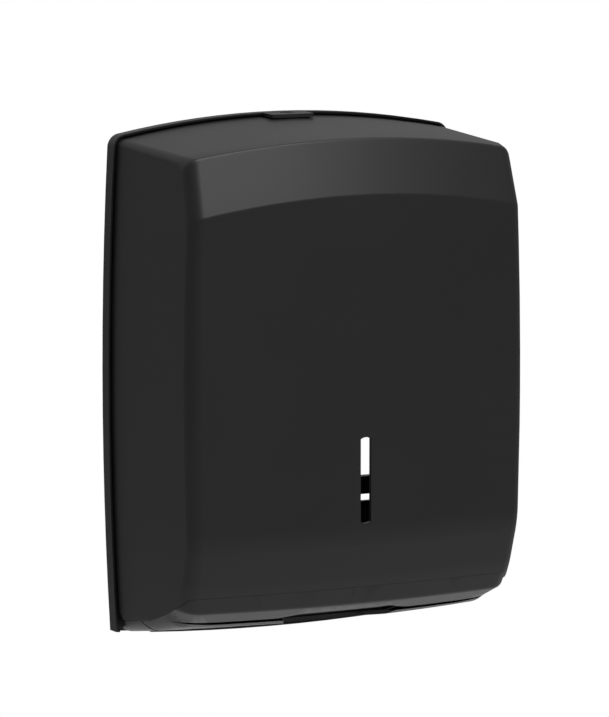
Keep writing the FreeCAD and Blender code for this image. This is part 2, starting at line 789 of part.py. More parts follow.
def keeper_screw_place(side):
    depth = lock_depth + lock_notch_half_width + keeper_front_land / 2
    seat = Vector(side * keeper_boss_x, -depth, keeper_boss_bottom - keeper_sheet)
    return seat, Vector(0, 0, 1), keeper_sheet + keeper_boss_height(depth) - screw_end_cover


def keeper_boss_height(depth):
    """From the boss's foot to the inner face of the cover's top, near the centre line."""
    slope = (cover_rear_top - cover_crease_height) / (cover_crease_depth + cover_crown - rim_depth)
    drop = keeper_boss_x ** 2 / (2 * plate_top_arc_radius)
    return cover_rear_top - drop - slope * (depth - rim_depth) - cover_wall - keeper_boss_bottom


def keeper_bosses(outer):
    bosses = []
    for side in (1, -1):
        seat = keeper_screw_place(side)[0]
        height = keeper_boss_height(-seat.y) + cover_wall
        foot = Vector(seat.x, seat.y, keeper_boss_bottom)
        bosses.append(Part.makeCylinder(keeper_boss_radius, height, foot))
    return [boss.common(outer) for boss in bosses]


def cover_shell(outer, inner):
    shell = outer.cut(inner)
    behind = box(-2 * plate_half_width, 2 * plate_half_width, -cover_rear_face_depth, 2 * beyond,
                 -beyond, plate_apex_height + 2 * beyond)
    shell = shell.cut(behind).cut(below_seam(0.0)).cut(window_cut())
    for boss in keeper_bosses(outer):
        shell = shell.fuse(boss)
    half = tongue_half_width + tongue_side_room
    shell = shell.cut(box(-half, half, 0, -tongue_depth, tongue_rear_underside - tongue_swing_room,
                          plate_apex_height + beyond))
    shell = shell.cut(lock_notch())
    shell = drilled(shell, bezel_screw_places)
    for side in (1, -1):
        seat, direction, length = keeper_screw_place(side)
        shell = shell.cut(Part.makeCylinder(screw_radius + screw_thread_clearance, length, seat, direction))
    return shell.removeSplitter()


# --- outlet bezel ---------------------------------------------------------------------------------

def facet_point(x, height):
    """A point on the sloping facet under the front lip."""
    lip = profile_corners(x)[4]
    run = (lip_height - height) / math.tan(math.radians(facet_angle))
    return Vector(x, lip[0] + run, height)


def smooth_step(x, full, none):
    """1 inside full, 0 outside none, with a smooth change between."""
    share = min(max((none - abs(x)) / (none - full), 0.0), 1.0)
    return share * share * (3 - 2 * share)


def slit_lower(x):
    return slit_height - slit_width * math.sin(math.radians(facet_angle))


def slit_upper(x):
    return slit_height + notch_rise * smooth_step(x, notch_flat_half_width, notch_half_width)


def curve_on_facet(height_at, x0, x1, steps):
    """A smooth edge through points of the facet, seen square to the facet."""
    facet = math.radians(facet_angle)
    into = Vector(0, math.sin(facet), math.cos(facet))
    points = []
    for k in range(steps + 1):
        x = x0 + (x1 - x0) * k / steps
        point = facet_point(x, height_at(x))
        points.append(point - into * point.dot(into))
    curve = Part.BSplineCurve()
    curve.interpolate(points)
    return curve.toShape()


def mouth_slit():
    """The slit along the facet with the finger notch in its upper lip, cut square to the facet."""
    facet = math.radians(facet_angle)
    into = Vector(0, math.sin(facet), math.cos(facet))
    full = slit_half_length - slit_taper
    lower = curve_on_facet(slit_lower, -full, full, slit_curve_steps)
    right = curve_on_facet(slit_upper, slit_half_length, notch_half_width, slit_end_curve_steps)
    notch = curve_on_facet(slit_upper, notch_half_width, -notch_half_width, notch_curve_steps)
    left = curve_on_facet(slit_upper, -notch_half_width, -slit_half_length, slit_end_curve_steps)
    edges = [
        lower,
        Part.makeLine(lower.valueAt(lower.LastParameter), right.valueAt(right.FirstParameter)),
        right,
        notch,
        left,
        Part.makeLine(left.valueAt(left.LastParameter), lower.valueAt(lower.FirstParameter)),
    ]
    face = Part.Face(Part.Wire(edges))
    start = facet_point(0, slit_height).dot(into) - lower_wall
    face.translate(into * start)
    return face.extrude(into * (4 * lower_wall + cover_crown))


def finger_cut():
    """The cut-out in the bezel's floor behind the slit."""
    front = facet_point(0, slit_height).y
    half_way = -(finger_cut_rear_depth - front) / 2
    cut = prism_z([
        (-finger_cut_half_width, front),
        (finger_cut_half_width, front),
        (finger_cut_rear_half_width, -finger_cut_rear_depth),
        (-finger_cut_rear_half_width, -finger_cut_rear_depth),
    ], -beyond, slit_lower(0))
    corners = [edge for edge in cut.Edges
               if edge.BoundBox.ZLength > beyond / 2 and edge.BoundBox.YMin > half_way]
    return cut.makeFillet(finger_cut_corner_radius, corners)


def bezel_tabs(lap_outer, lap_inner):
    ring = lap_outer.cut(lap_inner)
    tabs = []
    for depth in tab_depths:
        top = seam_height(depth) + tab_rise
        room = box(0, 2 * plate_half_width, -depth - tab_half_length, -depth + tab_half_length,
                   seam_height(depth) - lap_rise, top)
        tabs += on_both_sides(ring.common(room))
    return tabs


def lap_ring(lap_outer, lap_inner):
    """The flange of the bezel that stands up inside the cover along the seam."""
    lap = lap_outer.cut(lap_inner)
    top = [(y, z + lap_rise) for y, z in seam_outline(0.0)[3:-2]]
    low = [(y, z - lap_rise) for y, z in seam_outline(0.0)[3:-2]]
    reach = 2 * plate_half_width
    lap = lap.common(prism_x(top + low[::-1], -reach, reach))
    clear_x = flange_half_width + lap_side_room
    over_flange = box(-clear_x, clear_x, 0, -flange_front_depth - lap_rise, -beyond, 2 * beyond)
    beside_cheeks = box(-reach, reach, 0, -cheek_arm_depth - lap_side_room, -beyond, 2 * beyond)
    return lap.cut(over_flange).cut(beside_cheeks)


def outlet_bezel(low_outer, low_inner, lap_outer, lap_inner):
    body = low_outer.cut(low_inner).common(below_seam(seam_gap)).common(bezel_region(0.0))
    body = body.fuse(lap_ring(lap_outer, lap_inner).common(bezel_region(0.0)))
    for tab in bezel_tabs(lap_outer, lap_inner):
        body = body.fuse(tab)
    body = body.cut(mouth_slit()).cut(finger_cut())
    body = drilled(body, bezel_screw_places + tray_screw_places)
    return body.removeSplitter()


# --- floor tray ------------------------------------------------------------------------------------

def tail_outline():
    """The YZ region kept at the tray's rear, round the hinge."""
    return [
        (-cover_depth, beyond),
        (-tail_top_depth, beyond),
        (-tail_top_depth, tail_top_height),
        (-tail_end_depth, tail_end_height),
        (-tail_end_depth, -beyond),
        (-cover_depth, -beyond),
    ]


def behind_heel():
    """What lies behind the hinge and outside the heel that turns clear of the plate."""
    reach = 2 * plate_half_width
    behind = box(-reach, reach, -hinge_depth, beyond, -beyond, beyond)
    heel = Part.makeCylinder(heel_radius, 2 * reach, Vector(-reach, -hinge_depth, hinge_height),
                             Vector(1, 0, 0))
    return behind.cut(heel)


def floor_tray(low_outer, low_inner, flange_inner):
    reach = 2 * plate_half_width
    body = low_outer.cut(low_inner).common(below_seam(seam_gap))
    body = body.cut(bezel_region(-joint_gap)).common(prism_x(tail_outline(), -reach, reach))
    body = body.cut(behind_heel())
    inside = lug_inner_x - pin_head_height - lug_side_room
    body = body.cut(box(-inside, inside, -tray_floor_rear_depth, beyond, -beyond, beyond))
    flange = low_inner.cut(flange_inner).common(
        box(-flange_half_width, flange_half_width, -flange_rear_depth, -flange_front_depth,
            -beyond, underside_height(0, -flange_front_depth) + bottom_bow + lower_wall + flange_wall))
    body = body.fuse(flange).cut(finger_cut_in_tray())
    body = drilled(body, tray_screw_places + cheek_screw_places)
    # The floor leaves room for the plate's lugs and pins as the cover swings.
    for room in on_both_sides(box(inside, cheek_inner_x, -tray_floor_rear_depth, beyond, -beyond, beyond)):
        body = body.cut(room)
    return body.removeSplitter()


def finger_cut_in_tray():
    half = finger_cut_half_width + finger_cut_tray_margin
    return box(-half, half, -finger_cut_rear_depth, -cover_depth, -beyond, beyond)


# --- lock and keeper ---------------------------------------------------------------------------------

clip_top = lock_boss_bottom - clip_play
clip_bottom = clip_top - clip_thickness
cam_top = clip_bottom - cam_drop
cam_bottom = cam_top - cam_thickness


def lock_barrel():
    head_top = tongue_top(lock_depth) - barrel_head_gap
    head_low = head_top - barrel_head_height
    head = Part.makeCylinder(barrel_head_radius, barrel_head_height, Vector(0, -lock_depth, head_low))
    body = Part.makeCylinder(barrel_radius, head_low - cam_top, Vector(0, -lock_depth, cam_top))
    half = barrel_square / 2
    square = box(-half, half, -lock_depth - half, -lock_depth + half, cam_bottom, cam_top)
    groove_foot = Vector(0, -lock_depth, clip_bottom)
    groove = Part.makeCylinder(barrel_radius + overshoot, clip_thickness, groove_foot)
    groove = groove.cut(Part.makeCylinder(clip_groove_radius, clip_thickness, groove_foot))
    key = key_socket / 2
    socket = box(-key, key, -lock_depth - key, -lock_depth + key, head_top - key_socket_depth,
                 head_top + overshoot)
    thread = Part.makeCylinder(screw_radius + screw_thread_clearance, cam_screw_length,
                               Vector(0, -lock_depth, cam_bottom))
    return head.fuse(body).fuse(square).cut(groove).cut(socket).cut(thread).removeSplitter()


def lock_clip():
    """An open ring in the barrel's groove, under the bearing."""
    base = Vector(0, -lock_depth, clip_bottom)
    ring = Part.makeCylinder(clip_outer_radius, clip_thickness, base)
    ring = ring.cut(Part.makeCylinder(clip_groove_radius, clip_thickness, base))
    half = clip_opening / 2
    return ring.cut(box(-half, half, -lock_depth, -lock_depth + beyond, clip_bottom, clip_top))


def lock_cam():
    base = Vector(0, -lock_depth, cam_bottom)
    hub = Part.makeCylinder(cam_hub_radius, cam_thickness, base)
    half = cam_finger_width / 2
    reach = cam_length - half
    finger = box(-half, half, -lock_depth, -lock_depth - reach, cam_bottom, cam_top)
    tip = Part.makeCylinder(half, cam_thickness, Vector(0, -lock_depth - reach, cam_bottom))
    hole = barrel_square / 2 + cam_square_clearance
    square = box(-hole, hole, -lock_depth - hole, -lock_depth + hole, cam_bottom, cam_top)
    return hub.fuse(finger).fuse(tip).cut(square).removeSplitter()


def cam_screw():
    return pan_screw(Vector(0, -lock_depth, cam_bottom), Vector(0, 0, 1), cam_screw_length - screw_end_room)


def keeper_plate():
    """A steel angle whose leg the turned cam catches; its slot lets the bearing pass."""
    top = keeper_boss_bottom
    front = -(lock_depth + lock_notch_half_width + keeper_front_land)
    leg_front = -lock_depth + cam_finger_width / 2 + keeper_cam_play
    leg_rear = leg_front + keeper_sheet
    flange = box(-keeper_half_width, keeper_half_width, leg_rear, front, top - keeper_sheet, top)
    leg = box(-keeper_half_width, keeper_half_width, leg_rear, leg_front, top - keeper_leg_drop, top)
    plate = flange.fuse(leg).cut(lock_notch())
    for side in (1, -1):
        seat, direction, length = keeper_screw_place(side)
        plate = plate.cut(Part.makeCylinder(screw_radius + screw_thread_clearance, length, seat, direction))
    return plate.removeSplitter()


def keeper_screws():
    return Part.makeCompound([pan_screw(*keeper_screw_place(side)) for side in (1, -1)])


# --- all pieces -----------------------------------------------------------------------------------------

def main():
    os.makedirs("parts", exist_ok=True)
    outer = outer_form(0.0, True)
    inner = outer_form(cover_wall, False)
    low_outer = outer_form(lower_inset, True)
    low_inner = outer_form(lower_inset + lower_wall, False)
    foot_inner = outer_form(lower_inset + lower_wall + cheek_foot_wall, False)
    flange_inner = outer_form(lower_inset + lower_wall + flange_wall, False)
    lap_outer = outer_form(cover_wall + lap_clearance, False)
    lap_inner = outer_form(cover_wall + lap_clearance + lap_wall, False)

    save(wall_plate(), "wall_plate")
    save(closing_buffers(), "closing_buffers")
    save(cover_shell(outer, inner), "cover_shell")
    save(outlet_bezel(low_outer, low_inner, lap_outer, lap_inner), "outlet_bezel")
    save(floor_tray(low_outer, low_inner, flange_inner), "floor_tray")

    cheek = hinge_cheek(low_inner, foot_inner)
    for made, name in ((hinge_pin(), "hinge_pin"), (pin_bush(), "pin_bush"), (cheek, "hinge_cheek")):
        for piece, side in zip(on_both_sides(made), ("right", "left")):
            save(piece, name + "_" + side)

    save(screws(cheek_screw_places), "cheek_screws")
    save(screws(tray_screw_places), "tray_screws")
    save(screws(bezel_screw_places), "bezel_screws")
    save(keeper_plate(), "keeper_plate")
    save(keeper_screws(), "keeper_screws")
    save(lock_barrel(), "lock_barrel")
    save(lock_clip(), "lock_clip")
    save(lock_cam(), "lock_cam")
    save(cam_screw(), "cam_screw")


main()
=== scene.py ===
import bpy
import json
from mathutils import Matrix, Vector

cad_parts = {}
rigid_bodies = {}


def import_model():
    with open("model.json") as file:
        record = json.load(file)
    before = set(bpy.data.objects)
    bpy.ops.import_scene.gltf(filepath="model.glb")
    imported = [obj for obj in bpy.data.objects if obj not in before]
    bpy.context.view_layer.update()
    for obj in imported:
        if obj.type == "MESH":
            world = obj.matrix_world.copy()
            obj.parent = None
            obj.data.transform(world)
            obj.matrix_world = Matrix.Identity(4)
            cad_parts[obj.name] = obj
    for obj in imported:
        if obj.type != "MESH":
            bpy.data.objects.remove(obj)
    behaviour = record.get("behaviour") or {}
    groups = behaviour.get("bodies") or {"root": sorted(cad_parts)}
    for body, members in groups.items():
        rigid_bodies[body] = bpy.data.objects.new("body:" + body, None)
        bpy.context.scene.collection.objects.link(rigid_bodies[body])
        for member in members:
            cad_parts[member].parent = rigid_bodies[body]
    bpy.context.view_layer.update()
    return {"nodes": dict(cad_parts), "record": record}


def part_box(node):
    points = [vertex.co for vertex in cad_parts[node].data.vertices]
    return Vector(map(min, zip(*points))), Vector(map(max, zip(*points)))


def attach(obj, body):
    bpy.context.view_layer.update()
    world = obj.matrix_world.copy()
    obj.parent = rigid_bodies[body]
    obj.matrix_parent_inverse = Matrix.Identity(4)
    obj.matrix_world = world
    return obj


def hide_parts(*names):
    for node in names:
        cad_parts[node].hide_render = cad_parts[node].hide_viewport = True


bl_info = {
    "name": "Folded Towel Dispenser",
    "version": (1, 0, 0),
    "blender": (4, 5, 0),
    "location": "3D View > Sidebar > Dispenser",
    "description": "Models the shells, finishes and stage of a wall-mounted folded-towel dispenser",
    "category": "Add Mesh",
}

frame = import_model()

import json
import math

import bmesh
import bpy
from bpy.props import FloatProperty, FloatVectorProperty, PointerProperty
from mathutils import Vector

# Sizes in metres and angles in radians. X runs to the right seen from the front, Y into the wall
# and Z up. Depths are measured forward from the wall.
MM = 0.001


def metres(points):
    """Points that are written in millimetres."""
    return [(first * MM, second * MM) for first, second in points]


COVER_LOW, COVER_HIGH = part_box("cover_shell")
PLATE_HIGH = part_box("wall_plate")[1]
LOCK_LOW, LOCK_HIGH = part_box("lock_barrel")

# The plate's rim
RIM_INSET = 2.8 * MM                    # from the plate's widest point to the form, at mid height
RIM_DEPTH = 10.2 * MM

# The form's sides
HALF_WIDTH = PLATE_HIGH.x - RIM_INSET
MID_HEIGHT = 176.5 * MM
SIDE_BOW_RADIUS = 2970 * MM
SIDE_DRAFT = 3.5 * MM                   # half-width lost from rear to front
DRAFT_START = 10.2 * MM
REAR_DEPTH = -COVER_HIGH.y
CROWN = 8.6 * MM                        # how far the front bulges on the centre line
FRONT_DEPTH = -COVER_LOW.y              # on the centre line
SIDE_DEPTH = FRONT_DEPTH - CROWN

# The top and the chamfer. LIFT is how far a row's ends lie above the arc of the rear or the crease,
# DROP how far under the top's rear corners the row meets the rear edges of the sides.
TOP_HEIGHT = 364 * MM                   # at DRAFT_START, on the centre line
TOP_ARC_RADIUS = 672 * MM
OPEN_ROW_DEPTH = 15 * MM                # a row just in front of the plate's rim
OPEN_ROW_LIFT = 1.5 * MM
OPEN_ROW_DROP = 9 * MM
LATE_ROW_DEPTH = 100 * MM               # a row just behind the crease
LATE_ROW_LIFT = 0.9 * MM
LATE_ROW_DROP = 22 * MM
LATE_ROW_MORE_REACH = 1 * MM
CREASE_HEIGHT = 355.5 * MM
CREASE_DEPTH = 112.5 * MM + CROWN
CREASE_ARC_RADIUS = 718 * MM
CREASE_LIFT = 0.3 * MM
CREASE_DROP = 38 * MM
CHAMFER_FOOT_HEIGHT = 317 * MM
CHAMFER_ARC_RADIUS = 654 * MM
CHAMFER_SIDE_DROP = 16 * MM             # below the chamfer's own corners

# The front
FRONT_ROWS = [z * MM for z in (277, 237, 197, 168)]
FAN_SHARE = 0.15                        # how much closer together they are at the sides' rear edges
FAN_HEIGHT = 170 * MM                   # the height towards which they close in
BEND_HEIGHT = 77 * MM
BEND_SIDE_HEIGHT = 88 * MM
BEND_ANGLE = math.radians(15.6)
KNEE_HEIGHT = 45 * MM                   # below it the band leans back a little more
KNEE_SIDE_HEIGHT = 68 * MM

# The mouth: Y and Z on the centre line and the bow of the row across
MOUTH_LIP = (-117 * MM, 25.6 * MM, 1.0 * MM)
MOUTH_SLIT = (-101 * MM, 16.4 * MM, 1.6 * MM)
FACET_FOOT = (-90 * MM, 10.4 * MM, 3 * MM)
FACET_ANGLE = math.atan2(MOUTH_LIP[1] - MOUTH_SLIT[1], MOUTH_SLIT[0] - MOUTH_LIP[0])

# The mouth's rows again, with the height of their side ends, the share of the mouth's corner radius
# that they take, and the way in from the corner in degrees above level
MOUTH_ROWS = [
    (MOUTH_LIP, 50 * MM, 0.4, 14),
    (MOUTH_SLIT, 42 * MM, 0.9, 42),
    (FACET_FOOT, 34 * MM, 0.6, 72),
]

# The floor of the dispenser
FLOOR_ANGLE = math.radians(9.5)
FLOOR_HEIGHT = 1.3 * MM
FLOOR_DEPTH = 19.6 * MM
FLOOR_BOW = 3 * MM
FLOOR_BOW_HALF_WIDTH = 135 * MM
FLOOR_ROW_DEPTH = 56 * MM               # a row at the joint of bezel and tray
FLOOR_ROW_SIDE_HEIGHT = 21 * MM
FLOOR_REAR_SIDE_RISE = 12 * MM          # above the floor's rear corners
FLOOR_CORNER_REACH = 10 * MM

# How far the form turns at its creases
CREASE_TURN = math.radians(67)
CHAMFER_TURN = math.radians(18.5)
KNEE_TURN = math.radians(7)
LIP_TURN = math.radians(37)
FACET_FOOT_TURN = math.radians(20)

# The slit and the notch
SLIT_WIDTH = 5.6 * MM
SLIT_ABOVE = 0.9 * MM                   # the part of the slit's width above its middle line
SLIT_HALF_LENGTH = 127 * MM
SLIT_TAPER = 7 * MM
SLIT_END_LENGTH = 30 * MM               # over this length the slit bends back round the corner
SLIT_END_BACK = 15 * MM
SLIT_STEPS = 60
SLIT_INWARD = (0, 1, -0.1)              # the way in which the slit is cut
SLIT_START = -8                         # where the cut starts on that way, in mm
SLIT_RUN = 15                           # how far it goes, in mm
NOTCH_HALF_WIDTH = 56 * MM
NOTCH_FLAT_HALF_WIDTH = 22 * MM
NOTCH_RISE = 10.4 * MM

# The cut for the fingers: X and Y of the right half of its outline
FINGER_CUT = metres([(0, -50), (36, -50), (37, -66), (38.5, -80), (41.5, -89), (46, -94.5),
                     (51, -98.5), (57, -102)])
FINGER_CUT_START = 0.6 * MM             # behind the slit's middle line
FINGER_CUT_BELOW = 30 * MM
FINGER_CUT_ABOVE = 2.2 * MM             # above the slit's middle line

# The seam of cover and bezel, and the joint of bezel and tray: Y and Z
LOWER_INSET = 0.4 * MM
SEAM_GAP = 0.2 * MM
SEAM = metres([(30, 15), (-10.2, 15), (-17, 9.4), (-30, 11.2), (-42.7, 12.6), (-52, 14.5), (-61, 17.1),
               (-70.3, 20.1), (-79.5, 23.4), (-88.7, 26.9), (-98, 30.5), (-103, 32.6), (-105.6, 34.2),
               (-108.4, 36.6), (-110.5, 37.8), (-113.6, 38.4), (-119, 38.8), (-180, 38.9)])
JOINT = metres([(-56, 4.3), (-52.4, 6.6), (-48.5, 9), (-44.6, 11.4), (-41, 13.2), (-40.9, 60), (40, 60)])
JOINT_STRAIGHT_HALF_WIDTH = 116 * MM
JOINT_TOP = 60 * MM

# The strip that laps inside the cover, and its screw tabs
LAP_INSET = 3.2 * MM
LAP_RISE = 6 * MM
LAP_THINNER = 0.5 * MM                  # than the shells' walls
LAP_REAR_DEPTH = 53 * MM
TAB_RISE = 15 * MM
TAB_DEPTHS = (66 * MM, 94 * MM)
TAB_HALF_LENGTH = 7 * MM

# The cover's pocket for the tongue, and the bosses for the keeper
LOCK_DEPTH = -(LOCK_LOW.y + LOCK_HIGH.y) / 2
TONGUE_DEPTH = 25.5 * MM
TONGUE_POCKET_HALF_WIDTH = 18 * MM
TONGUE_POCKET_FLOOR = 363.4 * MM
POCKET_ROOM = 20 * MM                   # how far what cuts the pocket stands out above and below
POCKET_REAR = 10 * MM
NOTCH_FOR_LOCK_RADIUS = 7.3 * MM
KEEPER_BOSS_X = 17 * MM
KEEPER_BOSS_BEFORE_LOCK = 4 * MM        # in front of the round notch for the lock
KEEPER_BOSS_RADIUS = 4 * MM
KEEPER_BOSS_FOOT = 356 * MM
KEEPER_BOSS_HEIGHT = 5.5 * MM

# How far the solids that cut the form reach
ASTRIDE = 300 * MM
FAR_UNDER = 100 * MM
SLAB_REACH = 200 * MM                   # to both sides and forward
SLAB_TOP = 400 * MM
UNDER = 50 * MM
BEHIND = 50 * MM
FAR_BEHIND = 50.0

# The mesh that is folded over the form
COLUMNS = [x * MM for x in (0, 2.1, 4.15, 12, 24, 36, 48, 60, 72, 84, 96, 106, 114)]
CORNER_STEPS = 8
ASIDE = 4.0                             # where a grid is made, clear of the places that it is moved to
MERGE_DISTANCE = 0.02 * MM              # points of the cover closer together than this are merged
PLATE_MERGE_DISTANCE = 0.01 * MM
PLATE_FLAT_ANGLE = math.radians(0.5)    # faces of the plate that turn less than this are joined
UPRIGHT_NORMAL_Y = 0.3                  # a wall's normal has less Y than this, to either side
FORWARD_NORMAL_Y = -0.9                 # a face that looks forward has less Y than this
PART_TYPES = {"verts": "VERT", "edges": "EDGE", "faces": "FACE"}

# The stage: the ground under the object, and what the lamps shine at
GROUND_HALF_WIDTH = 2.2
GROUND_FRONT = -2.2
GROUND_REAR = 1.2
GROUND_THICKNESS = 0.02
GROUND_ROUNDING = 0.01
OBJECT_MIDDLE = (0, -0.06, 0.18)
GROUND_BEHIND_OBJECT = (0.3, 0.35)


# --- properties -----------------------------------------------------------------------------------

def length(name, description, default):
    """A size in metres that a user can change."""
    return FloatProperty(name=name, description=description, default=default, min=0.0, unit="LENGTH")


def colour(name, description, default):
    """A colour that a user can change."""
    return FloatVectorProperty(name=name, description=description, default=default, size=3,
                               min=0.0, max=1.0, subtype="COLOR")


class ShellSizes(bpy.types.PropertyGroup):
    """Walls, radii and window of the cover and the bezel, and the plate's chamfer"""
    wall: length("Wall", "Thickness of the moulded walls", 3 * MM)
    side_radius: length("Side edge radius", "Rounding between front and sides", 9.5 * MM)
    top_radius: length("Top edge radius", "Rounding between top and sides", 4 * MM)
    mouth_radius: length("Mouth corner radius", "Rounding of the bezel's lower corners", 19 * MM)
    crease_radius: length("Crease radius", "Rounding of the crease between top and chamfer", 3 * MM)
    chamfer_radius: length("Chamfer foot radius", "Rounding between chamfer and front", 5 * MM)
    bend_radius: length("Lower bend radius", "Rounding where the front starts to lean back", 60 * MM)
    lip_radius: length("Lip radius", "Rounding of the lip over the mouth", 5 * MM)
    foot_radius: length("Facet foot radius", "Rounding between facet and floor", 9 * MM)
    broken_edge: length("Broken edge", "Small bevel on the cut edges of cover and bezel", 0.3 * MM)
    rim_chamfer: length("Rim chamfer", "Bevel inside the wall plate's rim", 1.2 * MM)
    window_width: length("Window width", "Width of the slot in the front", 8.3 * MM)
    window_bottom: length("Window bottom", "Height of the slot's lower end", 85.8 * MM)
    window_top: length("Window top", "Height of the slot's upper end", 146.8 * MM)
    window_bow: length("Window end bow", "How far the slot's ends bulge", 1.2 * MM)


class FinishColours(bpy.types.PropertyGroup):
    """Colours and gloss of the finishes"""
    shell: colour("Shell", "Moulded black plastic", (0.016, 0.016, 0.0162))
    lock: colour("Lock", "Plastic of the lock barrel", (0.03, 0.03, 0.03))
    rubber: colour("Rubber", "Closing buffers", (0.02, 0.02, 0.02))
    acetal: colour("Acetal", "Hinge bushes", (0.75, 0.74, 0.7))
    pin_steel: colour("Pin steel", "Hinge pins and lock clip", (0.5, 0.5, 0.5))
    sheet_steel: colour("Sheet steel", "Keeper and cam", (0.45, 0.45, 0.46))
    zinc: colour("Zinc", "Screws", (0.6, 0.6, 0.58))
    shell_roughness: FloatProperty(name="Shell roughness", description="Roughness of the moulded plastic",
                                   default=0.44, min=0.0, max=1.0, subtype="FACTOR")


class StageSettings(bpy.types.PropertyGroup):
    """Camera, lamps and floor"""
    azimuth: FloatProperty(name="Azimuth", description="Camera's turn about the object",
                           default=math.radians(-28), subtype="ANGLE")
    elevation: FloatProperty(name="Elevation", description="Camera's height angle",
                             default=math.radians(7.0548), subtype="ANGLE")
    distance: length("Distance", "From the camera to the point it looks at", 3.4504)
    target: FloatVectorProperty(name="Target", description="Point that the camera looks at",
                                default=(-0.0095, -0.060, 0.1947), subtype="TRANSLATION")
    focal_length: FloatProperty(name="Focal length", description="Of the lens, for a sensor 36 mm wide",
                                default=286.95, min=1.0, unit="CAMERA")
    floor_height: FloatProperty(name="Floor height", description="Height of the floor under the object",
                                default=-0.45, unit="LENGTH")
    floor: colour("Floor", "Pale floor", (0.86, 0.86, 0.86))
    sky: FloatProperty(name="Sky strength", description="Soft light from all round", default=0.2, min=0.0)
    mirrored: FloatProperty(name="Mirrored backdrop", description="How white the backdrop is in reflections",
                            default=0.36, min=0.0, max=1.0, subtype="FACTOR")
    key: FloatProperty(name="Key power", description="Large lamp high in front", default=18.0,
                       min=0.0, unit="POWER")
    top: FloatProperty(name="Top lamp power", description="Narrow lamp overhead", default=6.0,
                       min=0.0, unit="POWER")
    floor_light: FloatProperty(name="Floor lamp power", description="Lamp that lights the floor",
                               default=9.0, min=0.0, unit="POWER")


# --- modelling helpers ----------------------------------------------------------------------------

def deselect_all():
    """Leaves edit mode and selects nothing."""
    if bpy.context.mode != "OBJECT":
        bpy.ops.object.mode_set(mode="OBJECT")
    bpy.ops.object.select_all(action="DESELECT")


def activate(piece):
    """Selects this piece alone."""
    deselect_all()
    piece.select_set(True)
    bpy.context.view_layer.objects.active = piece


def named_new(name):
    """Names the primitive that was just added and applies its place and size."""
    piece = bpy.context.object
    piece.name = name
    piece.data.name = name
    bpy.ops.object.transform_apply(location=True, rotation=True, scale=True)
    return piece


def block(name, low, high):
    """A cuboid between two corners."""
    deselect_all()
    low, high = Vector(low), Vector(high)
    bpy.ops.mesh.primitive_cube_add(size=1, location=(low + high) / 2, scale=high - low)
    return named_new(name)


def rod(name, start, end, radius, sides=48):
    """A cylinder from one point to another."""
    deselect_all()
    start, end = Vector(start), Vector(end)
    turn = (end - start).to_track_quat("Z", "Y").to_euler()
    bpy.ops.mesh.primitive_cylinder_add(vertices=sides, radius=radius, depth=(end - start).length,
                                        location=(start + end) / 2, rotation=turn)
    return named_new(name)


def copy_of(piece, name):
    """A copy with its own mesh."""
    activate(piece)
    bpy.ops.object.duplicate(linked=False)
    copy = bpy.context.object
    copy.name = name
    copy.data.name = name
    return copy


class Editing:
    """Edit mode on one piece, with selection by place or normal."""

    def __init__(self, piece):
        self.piece = piece

    def __enter__(self):
        activate(self.piece)
        bpy.ops.object.mode_set(mode="EDIT")
        return self

    def __exit__(self, *error):
        bpy.ops.object.mode_set(mode="OBJECT")

    def pick(self, parts, test):
        """Selects the verts, edges or faces that pass the test and returns how many did."""
        bpy.ops.mesh.select_mode(type=PART_TYPES[parts])
        mesh = bmesh.from_edit_mesh(self.piece.data)
        mesh.normal_update()
        for part in (*mesh.faces, *mesh.edges, *mesh.verts):
            part.select_set(False)
        chosen = [part for part in getattr(mesh, parts) if test(part)]
        for part in chosen:
            part.select_set(True)
        mesh.select_flush_mode()
        bmesh.update_edit_mesh(self.piece.data)
        return len(chosen)

    def delete(self, parts, test):
        """Deletes the parts that pass the test."""
        if self.pick(parts, test):
            bpy.ops.mesh.delete(type=PART_TYPES[parts])

    def round_edges(self, test, reach, segments, whole_loop=False):
        """Rounds the edges that pass the test; reach is how far the rounding goes on each face."""
        if not self.pick("edges", test):
            raise RuntimeError("no edge of " + self.piece.name + " lies where one should be rounded")
        if whole_loop:
            bpy.ops.mesh.loop_multi_select(ring=False)
        bpy.ops.mesh.bevel(offset=reach, offset_type="OFFSET", segments=segments, profile=0.5,
                           affect="EDGES", clamp_overlap=False, loop_slide=False)

    def tidy(self):
        """Merges doubles and turns all faces outwards."""
        bpy.ops.mesh.select_all(action="SELECT")
        bpy.ops.mesh.remove_doubles(threshold=1e-6)
        bpy.ops.mesh.normals_make_consistent(inside=False)


def inset_copy(sheet, name, inset):
    """A copy of a sheet that lies inside it by the inset."""
    copy = copy_of(sheet, name)
    with Editing(copy):
        bpy.ops.mesh.select_all(action="SELECT")
        bpy.ops.transform.shrink_fatten(value=-inset)
    return copy


def middle(part):
    """Centre of a face or an edge."""
    if hasattr(part, "calc_center_median"):
        return part.calc_center_median()
    return (part.verts[0].co + part.verts[1].co) / 2


def apply_modifier(piece, name, kind, **settings):
    """Adds a modifier, makes its settings and applies it."""
    activate(piece)
    modifier = piece.modifiers.new(name, kind)
    for key, value in settings.items():
        setattr(modifier, key, value)
    bpy.ops.object.modifier_apply(modifier=modifier.name)


def carve(piece, tool, operation="DIFFERENCE"):
    """Cuts the tool out of the piece, joins it on or keeps what both share, and removes the tool."""
    apply_modifier(piece, operation.title(), "BOOLEAN", object=tool, operation=operation, solver="MANIFOLD")
    bpy.data.objects.remove(tool)


def thicken(piece, wall):
    """Gives an open sheet a wall on its inner side."""
    apply_modifier(piece, "Wall", "SOLIDIFY", thickness=wall, offset=-1.0, use_even_offset=True,
                   use_quality_normals=True, use_rim=True)


